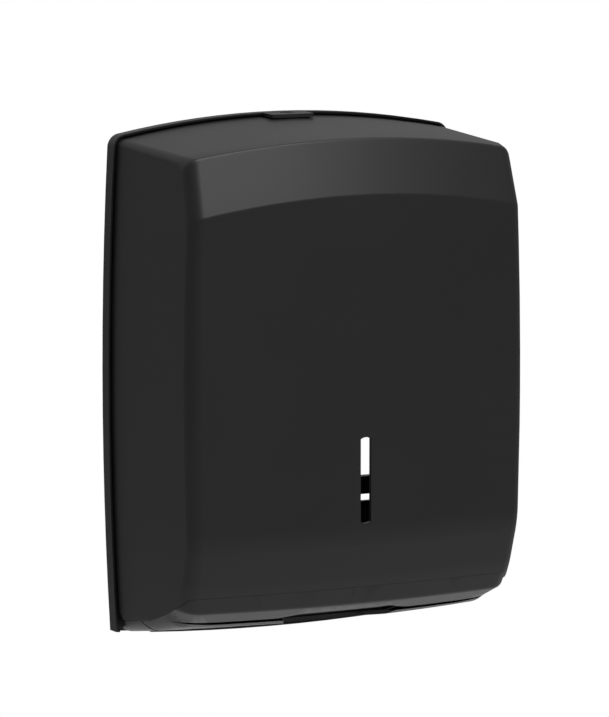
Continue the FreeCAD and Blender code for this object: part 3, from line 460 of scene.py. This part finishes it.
def merge_near(piece, distance):
    """Merges the crumbs that cutting left along the edges."""
    with Editing(piece) as edit:
        bpy.ops.mesh.select_all(action="SELECT")
        bpy.ops.mesh.remove_doubles(threshold=distance)
        bpy.ops.mesh.dissolve_degenerate(threshold=distance / 2)
        edit.tidy()


def drop_crumbs(piece):
    """Deletes what cutting left loose; the piece is what its foremost point belongs to."""
    front = min(vert.co.y for vert in piece.data.vertices)
    allowance = 0.01 * MM
    with Editing(piece) as edit:
        edit.pick("verts", lambda v: v.co.y < front + allowance)
        bpy.ops.mesh.select_linked()
        bpy.ops.mesh.select_all(action="INVERT")
        bpy.ops.mesh.delete(type="VERT")


def break_edges(piece, width):
    """Small bevels on all sharp edges of a carved piece."""
    apply_modifier(piece, "Broken edges", "BEVEL", width=width, segments=2, limit_method="ANGLE",
                   angle_limit=math.radians(50), use_clamp_overlap=True)


def smooth(piece, angle=math.radians(32)):
    """Smooth shading that leaves the large faces flat."""
    activate(piece)
    bpy.ops.object.shade_smooth_by_angle(angle=angle)
    apply_modifier(piece, "Even", "WEIGHTED_NORMAL", keep_sharp=True, weight=90)


def hand_over(piece, body, slot, finish, *nodes):
    """Gives a finished piece its finish and its body, and hides the nodes that it stands for."""
    piece.data.materials.clear()
    piece.data.materials.append(finish)
    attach(piece, body)
    if nodes:
        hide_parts(*nodes)


# --- the outer form of cover and bezel ------------------------------------------------------------

def half_width(y, z):
    """Half the form's width where its side wall has this depth and height."""
    draft = SIDE_DRAFT * (-y - DRAFT_START) / (SIDE_DEPTH - DRAFT_START)
    bow = (z - MID_HEIGHT) ** 2 / (2 * SIDE_BOW_RADIUS)
    return HALF_WIDTH - draft - bow


def top_height(depth):
    """Height of the top on the centre line."""
    slope = (TOP_HEIGHT - CREASE_HEIGHT) / (CREASE_DEPTH - DRAFT_START)
    return TOP_HEIGHT - slope * (depth - DRAFT_START)


def arc_rise(half, radius):
    """How far the ends of an arc across the form lie above its middle: less than nought."""
    return -half ** 2 / (2 * radius)


def band_depth(z):
    """Y of the front's lower band on the centre line."""
    return -FRONT_DEPTH + (BEND_HEIGHT - z) * math.tan(BEND_ANGLE)


def floor_height(x, y):
    """Height of the floor's underside, which is bowed across and rises to the front."""
    bow = FLOOR_BOW * (1 - (x / FLOOR_BOW_HALF_WIDTH) ** 2)
    return FLOOR_HEIGHT + math.tan(FLOOR_ANGLE) * (-y - FLOOR_DEPTH) - bow


def form_rows(sizes, mouth_radius):
    """Rows across the form, from the rear of the top down and back to the rear of the floor. Each is
    its place on the centre line, how far its ends lie back and up from there, the height at which it
    reaches the side's rear edge, the reach of its corner's rounding, and the way in from the corner
    in degrees above level."""
    edge = half_width(-SIDE_DEPTH, MID_HEIGHT)
    rear_rise = arc_rise(HALF_WIDTH, TOP_ARC_RADIUS)
    crease_rise = arc_rise(edge, CREASE_ARC_RADIUS)
    foot_rise = arc_rise(edge, CHAMFER_ARC_RADIUS)
    top, side = sizes.top_radius, sizes.side_radius
    rear_top = top_height(REAR_DEPTH)
    corner = rear_top + rear_rise
    rows = [
        (-REAR_DEPTH, rear_top, 0, rear_rise, corner - top, top, -90),
        (-OPEN_ROW_DEPTH, top_height(OPEN_ROW_DEPTH), 0, rear_rise + OPEN_ROW_LIFT,
         corner - OPEN_ROW_DROP, top, -90),
        (-LATE_ROW_DEPTH, top_height(LATE_ROW_DEPTH), 0, crease_rise + LATE_ROW_LIFT,
         corner - LATE_ROW_DROP, top + LATE_ROW_MORE_REACH, -90),
        (-CREASE_DEPTH, CREASE_HEIGHT, CROWN, crease_rise + CREASE_LIFT, corner - CREASE_DROP, side, -54),
        (-FRONT_DEPTH, CHAMFER_FOOT_HEIGHT, CROWN, foot_rise,
         CHAMFER_FOOT_HEIGHT + foot_rise - CHAMFER_SIDE_DROP, side, -9),
    ]
    window = [sizes.window_top - sizes.window_bow, sizes.window_bottom + sizes.window_bow]
    for z in FRONT_ROWS + window:
        rows.append((-FRONT_DEPTH, z, CROWN, 0, z - FAN_SHARE * (z - FAN_HEIGHT), side, 0))
    rows.append((-FRONT_DEPTH, BEND_HEIGHT, CROWN, 0, BEND_SIDE_HEIGHT, side, 8))
    rows.append((band_depth(KNEE_HEIGHT), KNEE_HEIGHT, CROWN, 0, KNEE_SIDE_HEIGHT, side, 12))
    for (y, z, bow), side_z, share, way in MOUTH_ROWS:
        rows.append((y, z, CROWN, bow, side_z, side + (mouth_radius - side) * share, way))
    rear_side_height = floor_height(edge, -REAR_DEPTH) + FLOOR_REAR_SIDE_RISE
    for y, side_z in ((-FLOOR_ROW_DEPTH, FLOOR_ROW_SIDE_HEIGHT), (-REAR_DEPTH, rear_side_height)):
        rise = floor_height(edge, y) - floor_height(0, y)
        rows.append((y, floor_height(0, y), 0, rise, side_z, FLOOR_CORNER_REACH, 90))
    return rows


def row_points(row):
    """The points of one row from its middle to the rear edge of the side, for X above nought."""
    y, z, back, rise, side_z, reach, way = row
    widest = half_width(y + back, z + rise)
    inner = widest - reach

    def on_row(x):
        share = x / widest
        return Vector((x, y + back * share ** 2, z + rise * share ** 2))

    points = [on_row(x + (inner - COLUMNS[-1]) * (x / COLUMNS[-1]) ** 2) for x in COLUMNS]
    corner = on_row(widest)
    inward = Vector((0, math.cos(math.radians(way)), math.sin(math.radians(way))))
    last = corner + inward * reach
    last.x = half_width(last.y, last.z)
    bend = math.cos(math.radians(45))
    for step in range(1, CORNER_STEPS + 1):
        t = step / CORNER_STEPS
        weights = (1 - t) ** 2, 2 * bend * t * (1 - t), t ** 2
        place = points[len(COLUMNS) - 1] * weights[0] + corner * weights[1] + last * weights[2]
        points.append(place / sum(weights))
    points.append(Vector((half_width(-REAR_DEPTH, side_z), -REAR_DEPTH, side_z)))
    return points


def folded_sheet(name, rows):
    """A sheet of quads folded over the form: the sides are its outermost columns."""
    half = [row_points(row) for row in rows]
    centre = len(half[0]) - 1
    across, along = 2 * centre, len(rows) - 1
    step_x, step_y = 2 / across, 2 / along
    deselect_all()
    bpy.ops.mesh.primitive_grid_add(x_subdivisions=across, y_subdivisions=along, size=2,
                                    location=(ASIDE, ASIDE, 0))
    sheet = named_new(name)
    with Editing(sheet) as edit:
        for j, points in enumerate(half):
            row_y = ASIDE + 1 - j * step_y
            for i in range(across + 1):
                column_x = ASIDE - 1 + i * step_x
                edit.pick("verts", lambda v: abs(v.co.x - column_x) < step_x / 4
                          and abs(v.co.y - row_y) < step_y / 4)
                place = points[abs(i - centre)].copy()
                if i < centre:
                    place.x = -place.x
                bpy.ops.transform.translate(value=place - Vector((column_x, row_y, 0)))
        edit.tidy()
    return sheet


def outer_sheet(name, sizes, mouth_radius):
    """The outer form as an open sheet with rounded edges."""
    sheet = folded_sheet(name, form_rows(sizes, mouth_radius))
    with Editing(sheet) as edit:
        bend_window(edit, sizes)
        # Y and Z of each crease, its radius and turn, and the segments of its rounding
        creases = [
            (-CREASE_DEPTH, CREASE_HEIGHT, sizes.crease_radius, CREASE_TURN, 5),
            (-FRONT_DEPTH, CHAMFER_FOOT_HEIGHT, sizes.chamfer_radius, CHAMFER_TURN, 3),
            (-FRONT_DEPTH, BEND_HEIGHT, sizes.bend_radius, BEND_ANGLE, 6),
            (band_depth(KNEE_HEIGHT), KNEE_HEIGHT, sizes.bend_radius, KNEE_TURN, 3),
            (*MOUTH_LIP[:2], sizes.lip_radius, LIP_TURN, 5),
            (*FACET_FOOT[:2], sizes.foot_radius, FACET_FOOT_TURN, 4),
        ]
        for y, z, radius, turn, segments in creases:
            edit.round_edges(lambda e: on_centre_row(e, y, z), radius * math.tan(turn / 2), segments,
                             whole_loop=True)
    return sheet


def on_centre_row(edge, y, z):
    """Whether an edge is the piece of a row just right of the centre line."""
    place = middle(edge)
    allowance = 0.5 * MM
    return (0 < place.x < COLUMNS[1] and abs(place.y - y) < allowance and abs(place.z - z) < allowance
            and abs(edge.verts[0].co.x - edge.verts[1].co.x) > COLUMNS[1] / 2)


# --- window, seam and joint -----------------------------------------------------------------------

def bend_window(edit, sizes):
    """Bows the window's ends and opens it."""
    half = sizes.window_width / 2
    low, high = sizes.window_bottom + sizes.window_bow, sizes.window_top - sizes.window_bow
    near_x, near_z = 0.3 * MM, 0.1 * MM
    for x in COLUMNS[:2]:
        bow = sizes.window_bow * (1 - (x / half) ** 2)
        for z, way in ((low, -1), (high, 1)):
            edit.pick("verts", lambda v: abs(abs(v.co.x) - x) < near_x and abs(v.co.z - z) < near_z)
            bpy.ops.transform.translate(value=(0, 0, way * bow))
    edit.delete("faces", lambda f: abs(middle(f).x) < half and low < middle(f).z < high)


def smooth_step(x, full, none):
    """1 up to full, 0 from none on, and eased between them."""
    share = min(max((none - abs(x)) / (none - full), 0.0), 1.0)
    return share * share * (3 - 2 * share)


def band_block(name, pairs, start, run):
    """A solid swept by run from a band, given as pairs of points across it, moved by start."""
    step = 2 / (len(pairs) - 1)
    deselect_all()
    bpy.ops.mesh.primitive_grid_add(x_subdivisions=len(pairs) - 1, y_subdivisions=1, size=2,
                                    location=(ASIDE, ASIDE, 0))
    piece = named_new(name)
    with Editing(piece) as edit:
        for i, pair in enumerate(pairs):
            for j, place in enumerate(pair):
                grid = Vector((ASIDE - 1 + i * step, ASIDE - 1 + 2 * j, 0))
                edit.pick("verts", lambda v: (v.co - grid).length < step / 4)
                bpy.ops.transform.translate(value=Vector(place) + Vector(start) - grid)
        bpy.ops.mesh.select_all(action="SELECT")
        bpy.ops.mesh.extrude_region_move(TRANSFORM_OT_translate={"value": Vector(run)})
        edit.tidy()
    return piece


def under_line(name, line, shift=0.0):
    """Everything under a line of Y and Z, right across the form, moved up by shift."""
    pairs = [((-ASTRIDE, y, -FAR_UNDER), (-ASTRIDE, y, z + shift)) for y, z in line]
    return band_block(name, pairs, (0, 0, 0), (2 * ASTRIDE, 0, 0))


def below_seam(shift):
    """Everything below the seam, moved up by shift."""
    return under_line("below_seam", SEAM, shift)


def behind_joint():
    """What belongs to the tray: the floor behind the joint, and the sides behind its slope."""
    return under_line("tray_side", JOINT)


def slab(name, front, rear):
    """A block right across the form, from one Y to another."""
    return block(name, (-SLAB_REACH, front, -UNDER), (SLAB_REACH, rear, SLAB_TOP))


# --- wall plate -----------------------------------------------------------------------------------

def wall_plate(sizes):
    """The construction's plate with the inside of its rim bevelled."""
    plate = copy_of(frame["nodes"]["wall_plate"], "plate")
    plate_middle = Vector((0, -RIM_DEPTH, MID_HEIGHT))
    allowance = 0.05 * MM

    def inner_rim(edge):
        """Whether an edge lies between the rim's front and a wall that looks at the plate's middle."""
        if any(abs(v.co.y + RIM_DEPTH) > allowance for v in edge.verts) or len(edge.link_faces) != 2:
            return False
        walls = [face.normal for face in edge.link_faces if abs(face.normal.y) < UPRIGHT_NORMAL_Y]
        fronts = [face.normal for face in edge.link_faces if face.normal.y < FORWARD_NORMAL_Y]
        return len(walls) == 1 and len(fronts) == 1 and walls[0].dot(plate_middle - middle(edge)) > 0

    with Editing(plate) as edit:
        bpy.ops.mesh.select_all(action="SELECT")
        bpy.ops.mesh.remove_doubles(threshold=PLATE_MERGE_DISTANCE)
        bpy.ops.mesh.dissolve_limited(angle_limit=PLATE_FLAT_ANGLE)
        edit.round_edges(inner_rim, sizes.rim_chamfer, segments=2)
    return plate


# --- cover ----------------------------------------------------------------------------------------

def cover_shell(sizes, sheet):
    """The cover above the seam, with the pocket for the tongue and the keeper's bosses."""
    cover = copy_of(sheet, "cover")
    thicken(cover, sizes.wall)
    carve(cover, below_seam(0.0))
    low, high = KEEPER_BOSS_FOOT - POCKET_ROOM, TONGUE_POCKET_FLOOR + POCKET_ROOM
    carve(cover, block("pocket", (-TONGUE_POCKET_HALF_WIDTH, -TONGUE_DEPTH, TONGUE_POCKET_FLOOR),
                       (TONGUE_POCKET_HALF_WIDTH, POCKET_REAR, high)))
    carve(cover, rod("lock_room", (0, -LOCK_DEPTH, low), (0, -LOCK_DEPTH, high), NOTCH_FOR_LOCK_RADIUS))
    carve(cover, block("lock_way", (-NOTCH_FOR_LOCK_RADIUS, -LOCK_DEPTH, low),
                       (NOTCH_FOR_LOCK_RADIUS, POCKET_REAR, high)))
    boss_depth = LOCK_DEPTH + NOTCH_FOR_LOCK_RADIUS + KEEPER_BOSS_BEFORE_LOCK
    for side in (-1, 1):
        foot = Vector((side * KEEPER_BOSS_X, -boss_depth, KEEPER_BOSS_FOOT))
        head = foot + Vector((0, 0, KEEPER_BOSS_HEIGHT))
        carve(cover, rod("keeper_boss", foot, head, KEEPER_BOSS_RADIUS), "UNION")
    return cover


# --- bezel ----------------------------------------------------------------------------------------

def slit_place(x):
    """A place on the slit's middle line, which bends back round the corners."""
    y, z, bow = MOUTH_SLIT
    share = x / half_width(-SIDE_DEPTH, MID_HEIGHT)
    end = max(abs(x) - SLIT_HALF_LENGTH + SLIT_END_LENGTH, 0.0) / SLIT_END_LENGTH
    return Vector((x, y + CROWN * share ** 2 + SLIT_END_BACK * end ** 2, z + bow * share ** 2))


def slit_and_notch():
    """What is cut out for the slit and for the notch in its upper lip."""
    inward = Vector(SLIT_INWARD)
    small = 0.1 * MM
    pairs = []
    for step in range(SLIT_STEPS + 1):
        x = (2 * step / SLIT_STEPS - 1) * SLIT_HALF_LENGTH
        run = slit_place(x + small) - slit_place(x - small)
        across = Vector((run.y, -run.x, 0)).normalized()
        across = Vector((across.x, across.y * math.cos(FACET_ANGLE), -across.y * math.sin(FACET_ANGLE)))
        taper = min(1.0, math.sqrt((SLIT_HALF_LENGTH - abs(x)) / SLIT_TAPER))
        notch = NOTCH_RISE * smooth_step(x, NOTCH_FLAT_HALF_WIDTH, NOTCH_HALF_WIDTH)
        below = (SLIT_WIDTH - SLIT_ABOVE) * taper
        pairs.append((slit_place(x) - across * below, slit_place(x) + across * (SLIT_ABOVE * taper + notch)))
    return band_block("slit", pairs, inward * SLIT_START * MM, inward * SLIT_RUN * MM)


def finger_cut():
    """What is cut out of the floor behind the slit."""
    edge = half_width(-SIDE_DEPTH, MID_HEIGHT)
    front, height = MOUTH_SLIT[:2]
    pairs = []
    for side in (-1, 1):
        line = FINGER_CUT if side == 1 else FINGER_CUT[:0:-1]
        for x, rear in line:
            start = front + FINGER_CUT_START + CROWN * (x / edge) ** 2
            pairs.append(((side * x, max(rear, start), 0), (side * x, start, 0)))
    return band_block("finger_cut", pairs, (0, 0, -FINGER_CUT_BELOW),
                      (0, 0, FINGER_CUT_BELOW + height + FINGER_CUT_ABOVE))


def lap_strip(sizes, sheet):
    """The strip that stands up inside the cover along the seam, with its four screw tabs."""
    strip = inset_copy(sheet, "lap", LAP_INSET)
    thicken(strip, sizes.wall - LAP_THINNER)
    carve(strip, below_seam(-LAP_RISE))
    tabs = copy_of(strip, "tabs")
    carve(strip, below_seam(LAP_RISE), "INTERSECT")
    carve(strip, slab("rear", -LAP_REAR_DEPTH, BEHIND))
    carve(tabs, below_seam(TAB_RISE), "INTERSECT")
    first, second = TAB_DEPTHS
    for front, rear in ((-first + TAB_HALF_LENGTH, FAR_BEHIND),
                        (-second + TAB_HALF_LENGTH, -first - TAB_HALF_LENGTH),
                        (-SLAB_REACH, -second - TAB_HALF_LENGTH)):
        carve(tabs, slab("between", front, rear))
    carve(strip, tabs, "UNION")
    return strip


def outlet_bezel(sizes, sheet, cover_sheet):
    """The bezel below the seam and in front of the joint, with its slit, notch, cut and lap."""
    bezel = inset_copy(sheet, "bezel", LOWER_INSET)
    thicken(bezel, sizes.wall)
    carve(bezel, below_seam(-SEAM_GAP), "INTERSECT")
    carve(bezel, behind_joint())
    carve(bezel, block("tray_floor", (-JOINT_STRAIGHT_HALF_WIDTH, JOINT[0][0], -UNDER),
                       (JOINT_STRAIGHT_HALF_WIDTH, BEHIND, JOINT_TOP)))
    carve(bezel, slit_and_notch())
    carve(bezel, finger_cut())
    carve(bezel, lap_strip(sizes, cover_sheet), "UNION")
    drop_crumbs(bezel)
    return bezel


# --- finishes -------------------------------------------------------------------------------------

class Value:
    """A shader socket that works in Python expressions."""

    def __init__(self, finish, socket):
        self.finish = finish
        self.socket = socket

    def maths(self, operation, first, second):
        node = self.finish.add("ShaderNodeMath", {"operation": operation}, {0: first, 1: second})
        return Value(self.finish, node.outputs[0])

    def __add__(self, other):
        return self.maths("ADD", self, other)

    def __sub__(self, other):
        return self.maths("SUBTRACT", self, other)

    def __rsub__(self, other):
        return self.maths("SUBTRACT", other, self)

    def __mul__(self, other):
        return self.maths("MULTIPLY", self, other)

    __radd__ = __add__
    __rmul__ = __mul__


class Finish:
    """One material and its Principled shader."""

    def __init__(self, name, roughness, colour, metallic=0.0):
        self.material = bpy.data.materials.new(name + "_finish")
        self.material.use_nodes = True
        self.tree = self.material.node_tree
        self.shader = self.tree.nodes["Principled BSDF"]
        self.shader.inputs["Roughness"].default_value = roughness
        self.shader.inputs["Metallic"].default_value = metallic
        self.shader.inputs["Base Color"].default_value = (*colour, 1.0)
        self.place = self.add("ShaderNodeTexCoord", {}, {}).outputs["Object"]

    @classmethod
    def on_tree(cls, tree):
        """The same node helpers on a tree that isn't a material's."""
        finish = cls.__new__(cls)
        finish.tree = tree
        return finish

    def between(self, value, low, high):
        """The value's place from low to high, from 0 to 1, eased at both ends."""
        node = self.add("ShaderNodeMapRange", {"interpolation_type": "SMOOTHSTEP"},
                        {"Value": value, "From Min": low, "From Max": high})
        return Value(self, node.outputs[0])

    def add(self, kind, settings, inputs):
        """Adds a node, makes its settings and then fills or links its sockets."""
        node = self.tree.nodes.new(kind)
        for key, value in settings.items():
            setattr(node, key, value)
        for key, value in inputs.items():
            self.feed(node.inputs[key], value)
        return node

    def feed(self, socket, value):
        """Links a socket to a value, or sets it to one."""
        if isinstance(value, Value):
            value = value.socket
        if isinstance(value, bpy.types.NodeSocket):
            self.tree.links.new(value, socket)
        else:
            socket.default_value = value

    def noise(self, scale, detail=2.0, rough=0.5, stretch=None):
        """Noise from 0 to 1; scale is in waves a metre, stretch squeezes it along X, Y or Z."""
        place = self.place
        if stretch:
            place = self.add("ShaderNodeMapping", {}, {"Vector": self.place, "Scale": stretch}).outputs[0]
        node = self.add("ShaderNodeTexNoise", {"noise_dimensions": "3D"},
                        {"Vector": place, "Scale": scale, "Detail": detail, "Roughness": rough})
        return Value(self, node.outputs["Fac"])

    def tint(self, amount, dark, light):
        """Base colour between two colours."""
        node = self.add("ShaderNodeMix", {"data_type": "RGBA"},
                        {"Factor": amount, 6: (*dark, 1.0), 7: (*light, 1.0)})
        self.feed(self.shader.inputs["Base Color"], node.outputs[2])

    def bump(self, height, distance, strength=0.5):
        """Raises the surface by up to the distance where the height is 1."""
        node = self.add("ShaderNodeBump", {}, {"Height": height, "Distance": distance, "Strength": strength})
        self.feed(self.shader.inputs["Normal"], node.outputs["Normal"])

    def feed_roughness(self, value):
        self.feed(self.shader.inputs["Roughness"], value)


def scaled(colour, factor):
    """A colour made lighter or darker."""
    return tuple(min(channel * factor, 1.0) for channel in colour)


def moulded_plastic(name, colour, roughness):
    """Satin moulded plastic: a fine eroded grain with slight clouds in gloss and colour."""
    finish = Finish(name, roughness, colour=colour)
    clouds = finish.noise(scale=14.0, detail=3.0)
    grain = finish.noise(scale=2600.0, detail=3.0, rough=0.6)
    finish.tint(clouds * 0.6 + grain * 0.4, dark=scaled(colour, 0.88), light=scaled(colour, 1.12))
    spread = 0.06
    finish.feed_roughness(roughness - spread + clouds * spread + grain * spread)
    finish.bump(grain, distance=0.004 * MM)
    return finish.material


def drawn_metal(name, colour, roughness, stretch):
    """Drawn or rolled metal with fine lines along one axis."""
    finish = Finish(name, roughness, metallic=1.0, colour=colour)
    lines = finish.noise(scale=900.0, detail=3.0, rough=0.6, stretch=stretch)
    blotches = finish.noise(scale=260.0)
    finish.tint(blotches, dark=scaled(colour, 0.86), light=scaled(colour, 1.1))
    finish.feed_roughness(roughness + lines * 0.14 - 0.05)
    finish.bump(lines, distance=0.01 * MM)
    return finish.material


def plain_polymer(name, colour, roughness, grain_scale, grain_depth):
    """Rubber or unpainted plastic with one fine grain."""
    finish = Finish(name, roughness, colour=colour)
    grain = finish.noise(grain_scale)
    finish.tint(grain, dark=scaled(colour, 0.93), light=scaled(colour, 1.05))
    finish.feed_roughness(roughness + grain * 0.08 - 0.04)
    finish.bump(grain, grain_depth)
    return finish.material


def make_finishes(colours):
    """All finishes, by the record's slots."""
    return {
        "black_abs": moulded_plastic("black_abs", colours.shell, colours.shell_roughness),
        "lock_abs": moulded_plastic("lock_abs", colours.lock, roughness=0.38),
        "black_rubber": plain_polymer("black_rubber", colours.rubber, roughness=0.75,
                                      grain_scale=1800.0, grain_depth=0.03 * MM),
        "acetal_bush": plain_polymer("acetal_bush", colours.acetal, roughness=0.35,
                                     grain_scale=900.0, grain_depth=0.01 * MM),
        "steel_pin": drawn_metal("steel_pin", colours.pin_steel, roughness=0.28, stretch=(0.05, 1.0, 1.0)),
        "keeper_steel": drawn_metal("keeper_steel", colours.sheet_steel, roughness=0.36,
                                    stretch=(0.06, 1.0, 1.0)),
        "zinc_screw": drawn_metal("zinc_screw", colours.zinc, roughness=0.3, stretch=(1.0, 1.0, 1.0)),
    }


def finish_for(slot):
    """The finish that was made for a slot."""
    return bpy.data.materials[slot + "_finish"]


# --- operators ------------------------------------------------------------------------------------

class DISPENSER_OT_finishes(bpy.types.Operator):
    """Make the finishes and give every construction piece its own"""
    bl_idname = "dispenser.finishes"
    bl_label = "Finishes"

    def execute(self, context):
        made = make_finishes(context.scene.dispenser_finishes)
        for part in frame["record"]["subparts"]:
            node = frame["nodes"][part["node"]]
            node.data.materials.clear()
            node.data.materials.append(made[part["material_slot"]])
        return {"FINISHED"}


class DISPENSER_OT_shells(bpy.types.Operator):
    """Model the cover and the outlet bezel from two folded sheets"""
    bl_idname = "dispenser.shells"
    bl_label = "Cover and bezel"

    def execute(self, context):
        sizes = context.scene.dispenser_sizes
        upper = outer_sheet("upper_form", sizes, sizes.side_radius)
        lower = outer_sheet("lower_form", sizes, sizes.mouth_radius)
        bezel = outlet_bezel(sizes, lower, upper)
        cover = cover_shell(sizes, upper)
        merge_near(cover, MERGE_DISTANCE)
        for made, node in ((cover, "cover_shell"), (bezel, "outlet_bezel")):
            break_edges(made, sizes.broken_edge)
            smooth(made)
            hand_over(made, "cover", "black_abs", finish_for("black_abs"), node)
        for sheet in (upper, lower):
            bpy.data.objects.remove(sheet)
        return {"FINISHED"}


class DISPENSER_OT_plate(bpy.types.Operator):
    """Bevel the inside of the wall plate's rim"""
    bl_idname = "dispenser.plate"
    bl_label = "Wall plate"

    def execute(self, context):
        plate = wall_plate(context.scene.dispenser_sizes)
        smooth(plate)
        hand_over(plate, "plate", "black_abs", finish_for("black_abs"), "wall_plate")
        return {"FINISHED"}


class DISPENSER_OT_stage(bpy.types.Operator):
    """Set the camera, the floor, the lamps and the background"""
    bl_idname = "dispenser.stage"
    bl_label = "Stage"

    def execute(self, context):
        stage = context.scene.dispenser_stage
        add_camera(context.scene, stage)
        add_floor(stage)
        add_lamps(stage)
        light_background(context.scene, stage)
        context.scene.view_settings.view_transform = "Standard"
        return {"FINISHED"}


def looking(target, azimuth, elevation, distance):
    """A place seen from the target at these angles, and the turn that looks back at it."""
    forward = Vector((-math.sin(azimuth) * math.cos(elevation), math.cos(azimuth) * math.cos(elevation),
                      -math.sin(elevation)))
    return Vector(target) - forward * distance, forward.to_track_quat("-Z", "Y").to_euler()


def add_camera(scene, stage):
    """The camera, looking at the stage's target."""
    place, turn = looking(stage.target, stage.azimuth, stage.elevation, stage.distance)
    data = bpy.data.cameras.new("camera")
    data.sensor_fit = "HORIZONTAL"
    data.sensor_width = 36.0
    data.lens = stage.focal_length
    data.clip_end = 50.0
    camera = bpy.data.objects.new("camera", data)
    camera.location = place
    camera.rotation_euler = turn
    scene.collection.objects.link(camera)
    scene.camera = camera


def add_floor(stage):
    """A pale floor with a rounded rim, which isn't part of the object."""
    top = stage.floor_height
    floor = block("floor", (-GROUND_HALF_WIDTH, GROUND_FRONT, top - GROUND_THICKNESS),
                  (GROUND_HALF_WIDTH, GROUND_REAR, top))

    def upper_rim(edge):
        level = abs(edge.verts[0].co.z - edge.verts[1].co.z) < GROUND_THICKNESS / 2
        return level and middle(edge).z > top - GROUND_THICKNESS / 2

    with Editing(floor) as edit:
        edit.round_edges(upper_rim, GROUND_ROUNDING, segments=3)
    finish = Finish("pale_floor", roughness=0.8, colour=stage.floor)
    finish.tint(finish.noise(scale=3.0), dark=scaled(stage.floor, 0.98), light=stage.floor)
    floor.data.materials.append(finish.material)


def add_lamp(name, target, azimuth, elevation, distance, size, power):
    """A soft rectangular lamp that shines at the target from these angles, which are in degrees."""
    place, turn = looking(target, math.radians(azimuth), math.radians(elevation), distance)
    data = bpy.data.lights.new(name, "AREA")
    data.shape = "RECTANGLE"
    data.size, data.size_y = size
    data.energy = power
    lamp = bpy.data.objects.new(name, data)
    lamp.location = place
    lamp.rotation_euler = turn
    bpy.context.scene.collection.objects.link(lamp)
    return lamp


def add_lamps(stage):
    """The large lamp high in front, the narrow one overhead and the one for the floor alone."""
    add_lamp("key_lamp", OBJECT_MIDDLE, azimuth=8, elevation=40, distance=2.4, size=(1.5, 0.5),
             power=stage.key)
    add_lamp("top_lamp", OBJECT_MIDDLE, azimuth=8, elevation=78, distance=1.3, size=(0.9, 0.14),
             power=stage.top)
    lamp = add_lamp("floor_lamp", (*GROUND_BEHIND_OBJECT, stage.floor_height), azimuth=180, elevation=48,
                    distance=1.0, size=(0.9, 0.5), power=stage.floor_light)
    lamp.visible_glossy = False


def light_background(scene, stage):
    """White behind the object, also where it is mirrored or seen through; softer light for the rest."""
    world = bpy.data.worlds.new("studio")
    world.use_nodes = True
    scene.world = world
    tree = world.node_tree
    tree.nodes.clear()
    studio = Finish.on_tree(tree)
    rays = tree.nodes.new("ShaderNodeLightPath")
    way = studio.add("ShaderNodeTexCoord", {}, {}).outputs["Generated"]
    parts = studio.add("ShaderNodeSeparateXYZ", {}, {"Vector": way})
    back = studio.between(Value(studio, parts.outputs["Y"]), low=-0.1, high=0.5)
    upward = studio.between(Value(studio, parts.outputs["Z"]), low=-0.05, high=0.25)
    mirrored = Value(studio, rays.outputs["Is Glossy Ray"]) * back * upward * stage.mirrored
    through = Value(studio, rays.outputs["Is Transmission Ray"])
    direct = Value(studio, rays.outputs["Is Camera Ray"]) + through
    seen = studio.between(direct + mirrored, low=0.0, high=1.0)
    pure_white = (1, 1, 1, 1)
    soft = studio.add("ShaderNodeBackground", {}, {"Color": pure_white, "Strength": stage.sky})
    white = studio.add("ShaderNodeBackground", {}, {"Color": pure_white, "Strength": 1.0})
    mix = studio.add("ShaderNodeMixShader", {}, {0: seen, 1: soft.outputs[0], 2: white.outputs[0]})
    studio.add("ShaderNodeOutputWorld", {}, {"Surface": mix.outputs[0]})


OPERATORS = [DISPENSER_OT_finishes, DISPENSER_OT_shells, DISPENSER_OT_plate, DISPENSER_OT_stage]


class DISPENSER_PT_panel(bpy.types.Panel):
    """Lists the pieces and the stage"""
    bl_label = "Towel Dispenser"
    bl_idname = "DISPENSER_PT_panel"
    bl_space_type = "VIEW_3D"
    bl_region_type = "UI"
    bl_category = "Dispenser"

    def draw(self, context):
        for operator in OPERATORS:
            self.layout.operator(operator.bl_idname)
        for group in (context.scene.dispenser_sizes, context.scene.dispenser_finishes,
                      context.scene.dispenser_stage):
            box = self.layout.box()
            for name in group.__annotations__:
                box.prop(group, name)


CLASSES = [ShellSizes, FinishColours, StageSettings, *OPERATORS, DISPENSER_PT_panel]


def register():
    for kind in CLASSES:
        bpy.utils.register_class(kind)
    bpy.types.Scene.dispenser_sizes = PointerProperty(type=ShellSizes)
    bpy.types.Scene.dispenser_finishes = PointerProperty(type=FinishColours)
    bpy.types.Scene.dispenser_stage = PointerProperty(type=StageSettings)


def unregister():
    del bpy.types.Scene.dispenser_sizes
    del bpy.types.Scene.dispenser_finishes
    del bpy.types.Scene.dispenser_stage
    for kind in reversed(CLASSES):
        bpy.utils.unregister_class(kind)


def main():
    register()
    bpy.ops.dispenser.finishes()
    bpy.ops.dispenser.shells()
    bpy.ops.dispenser.plate()
    bpy.ops.dispenser.stage()


if __name__ == "__main__":
    main()
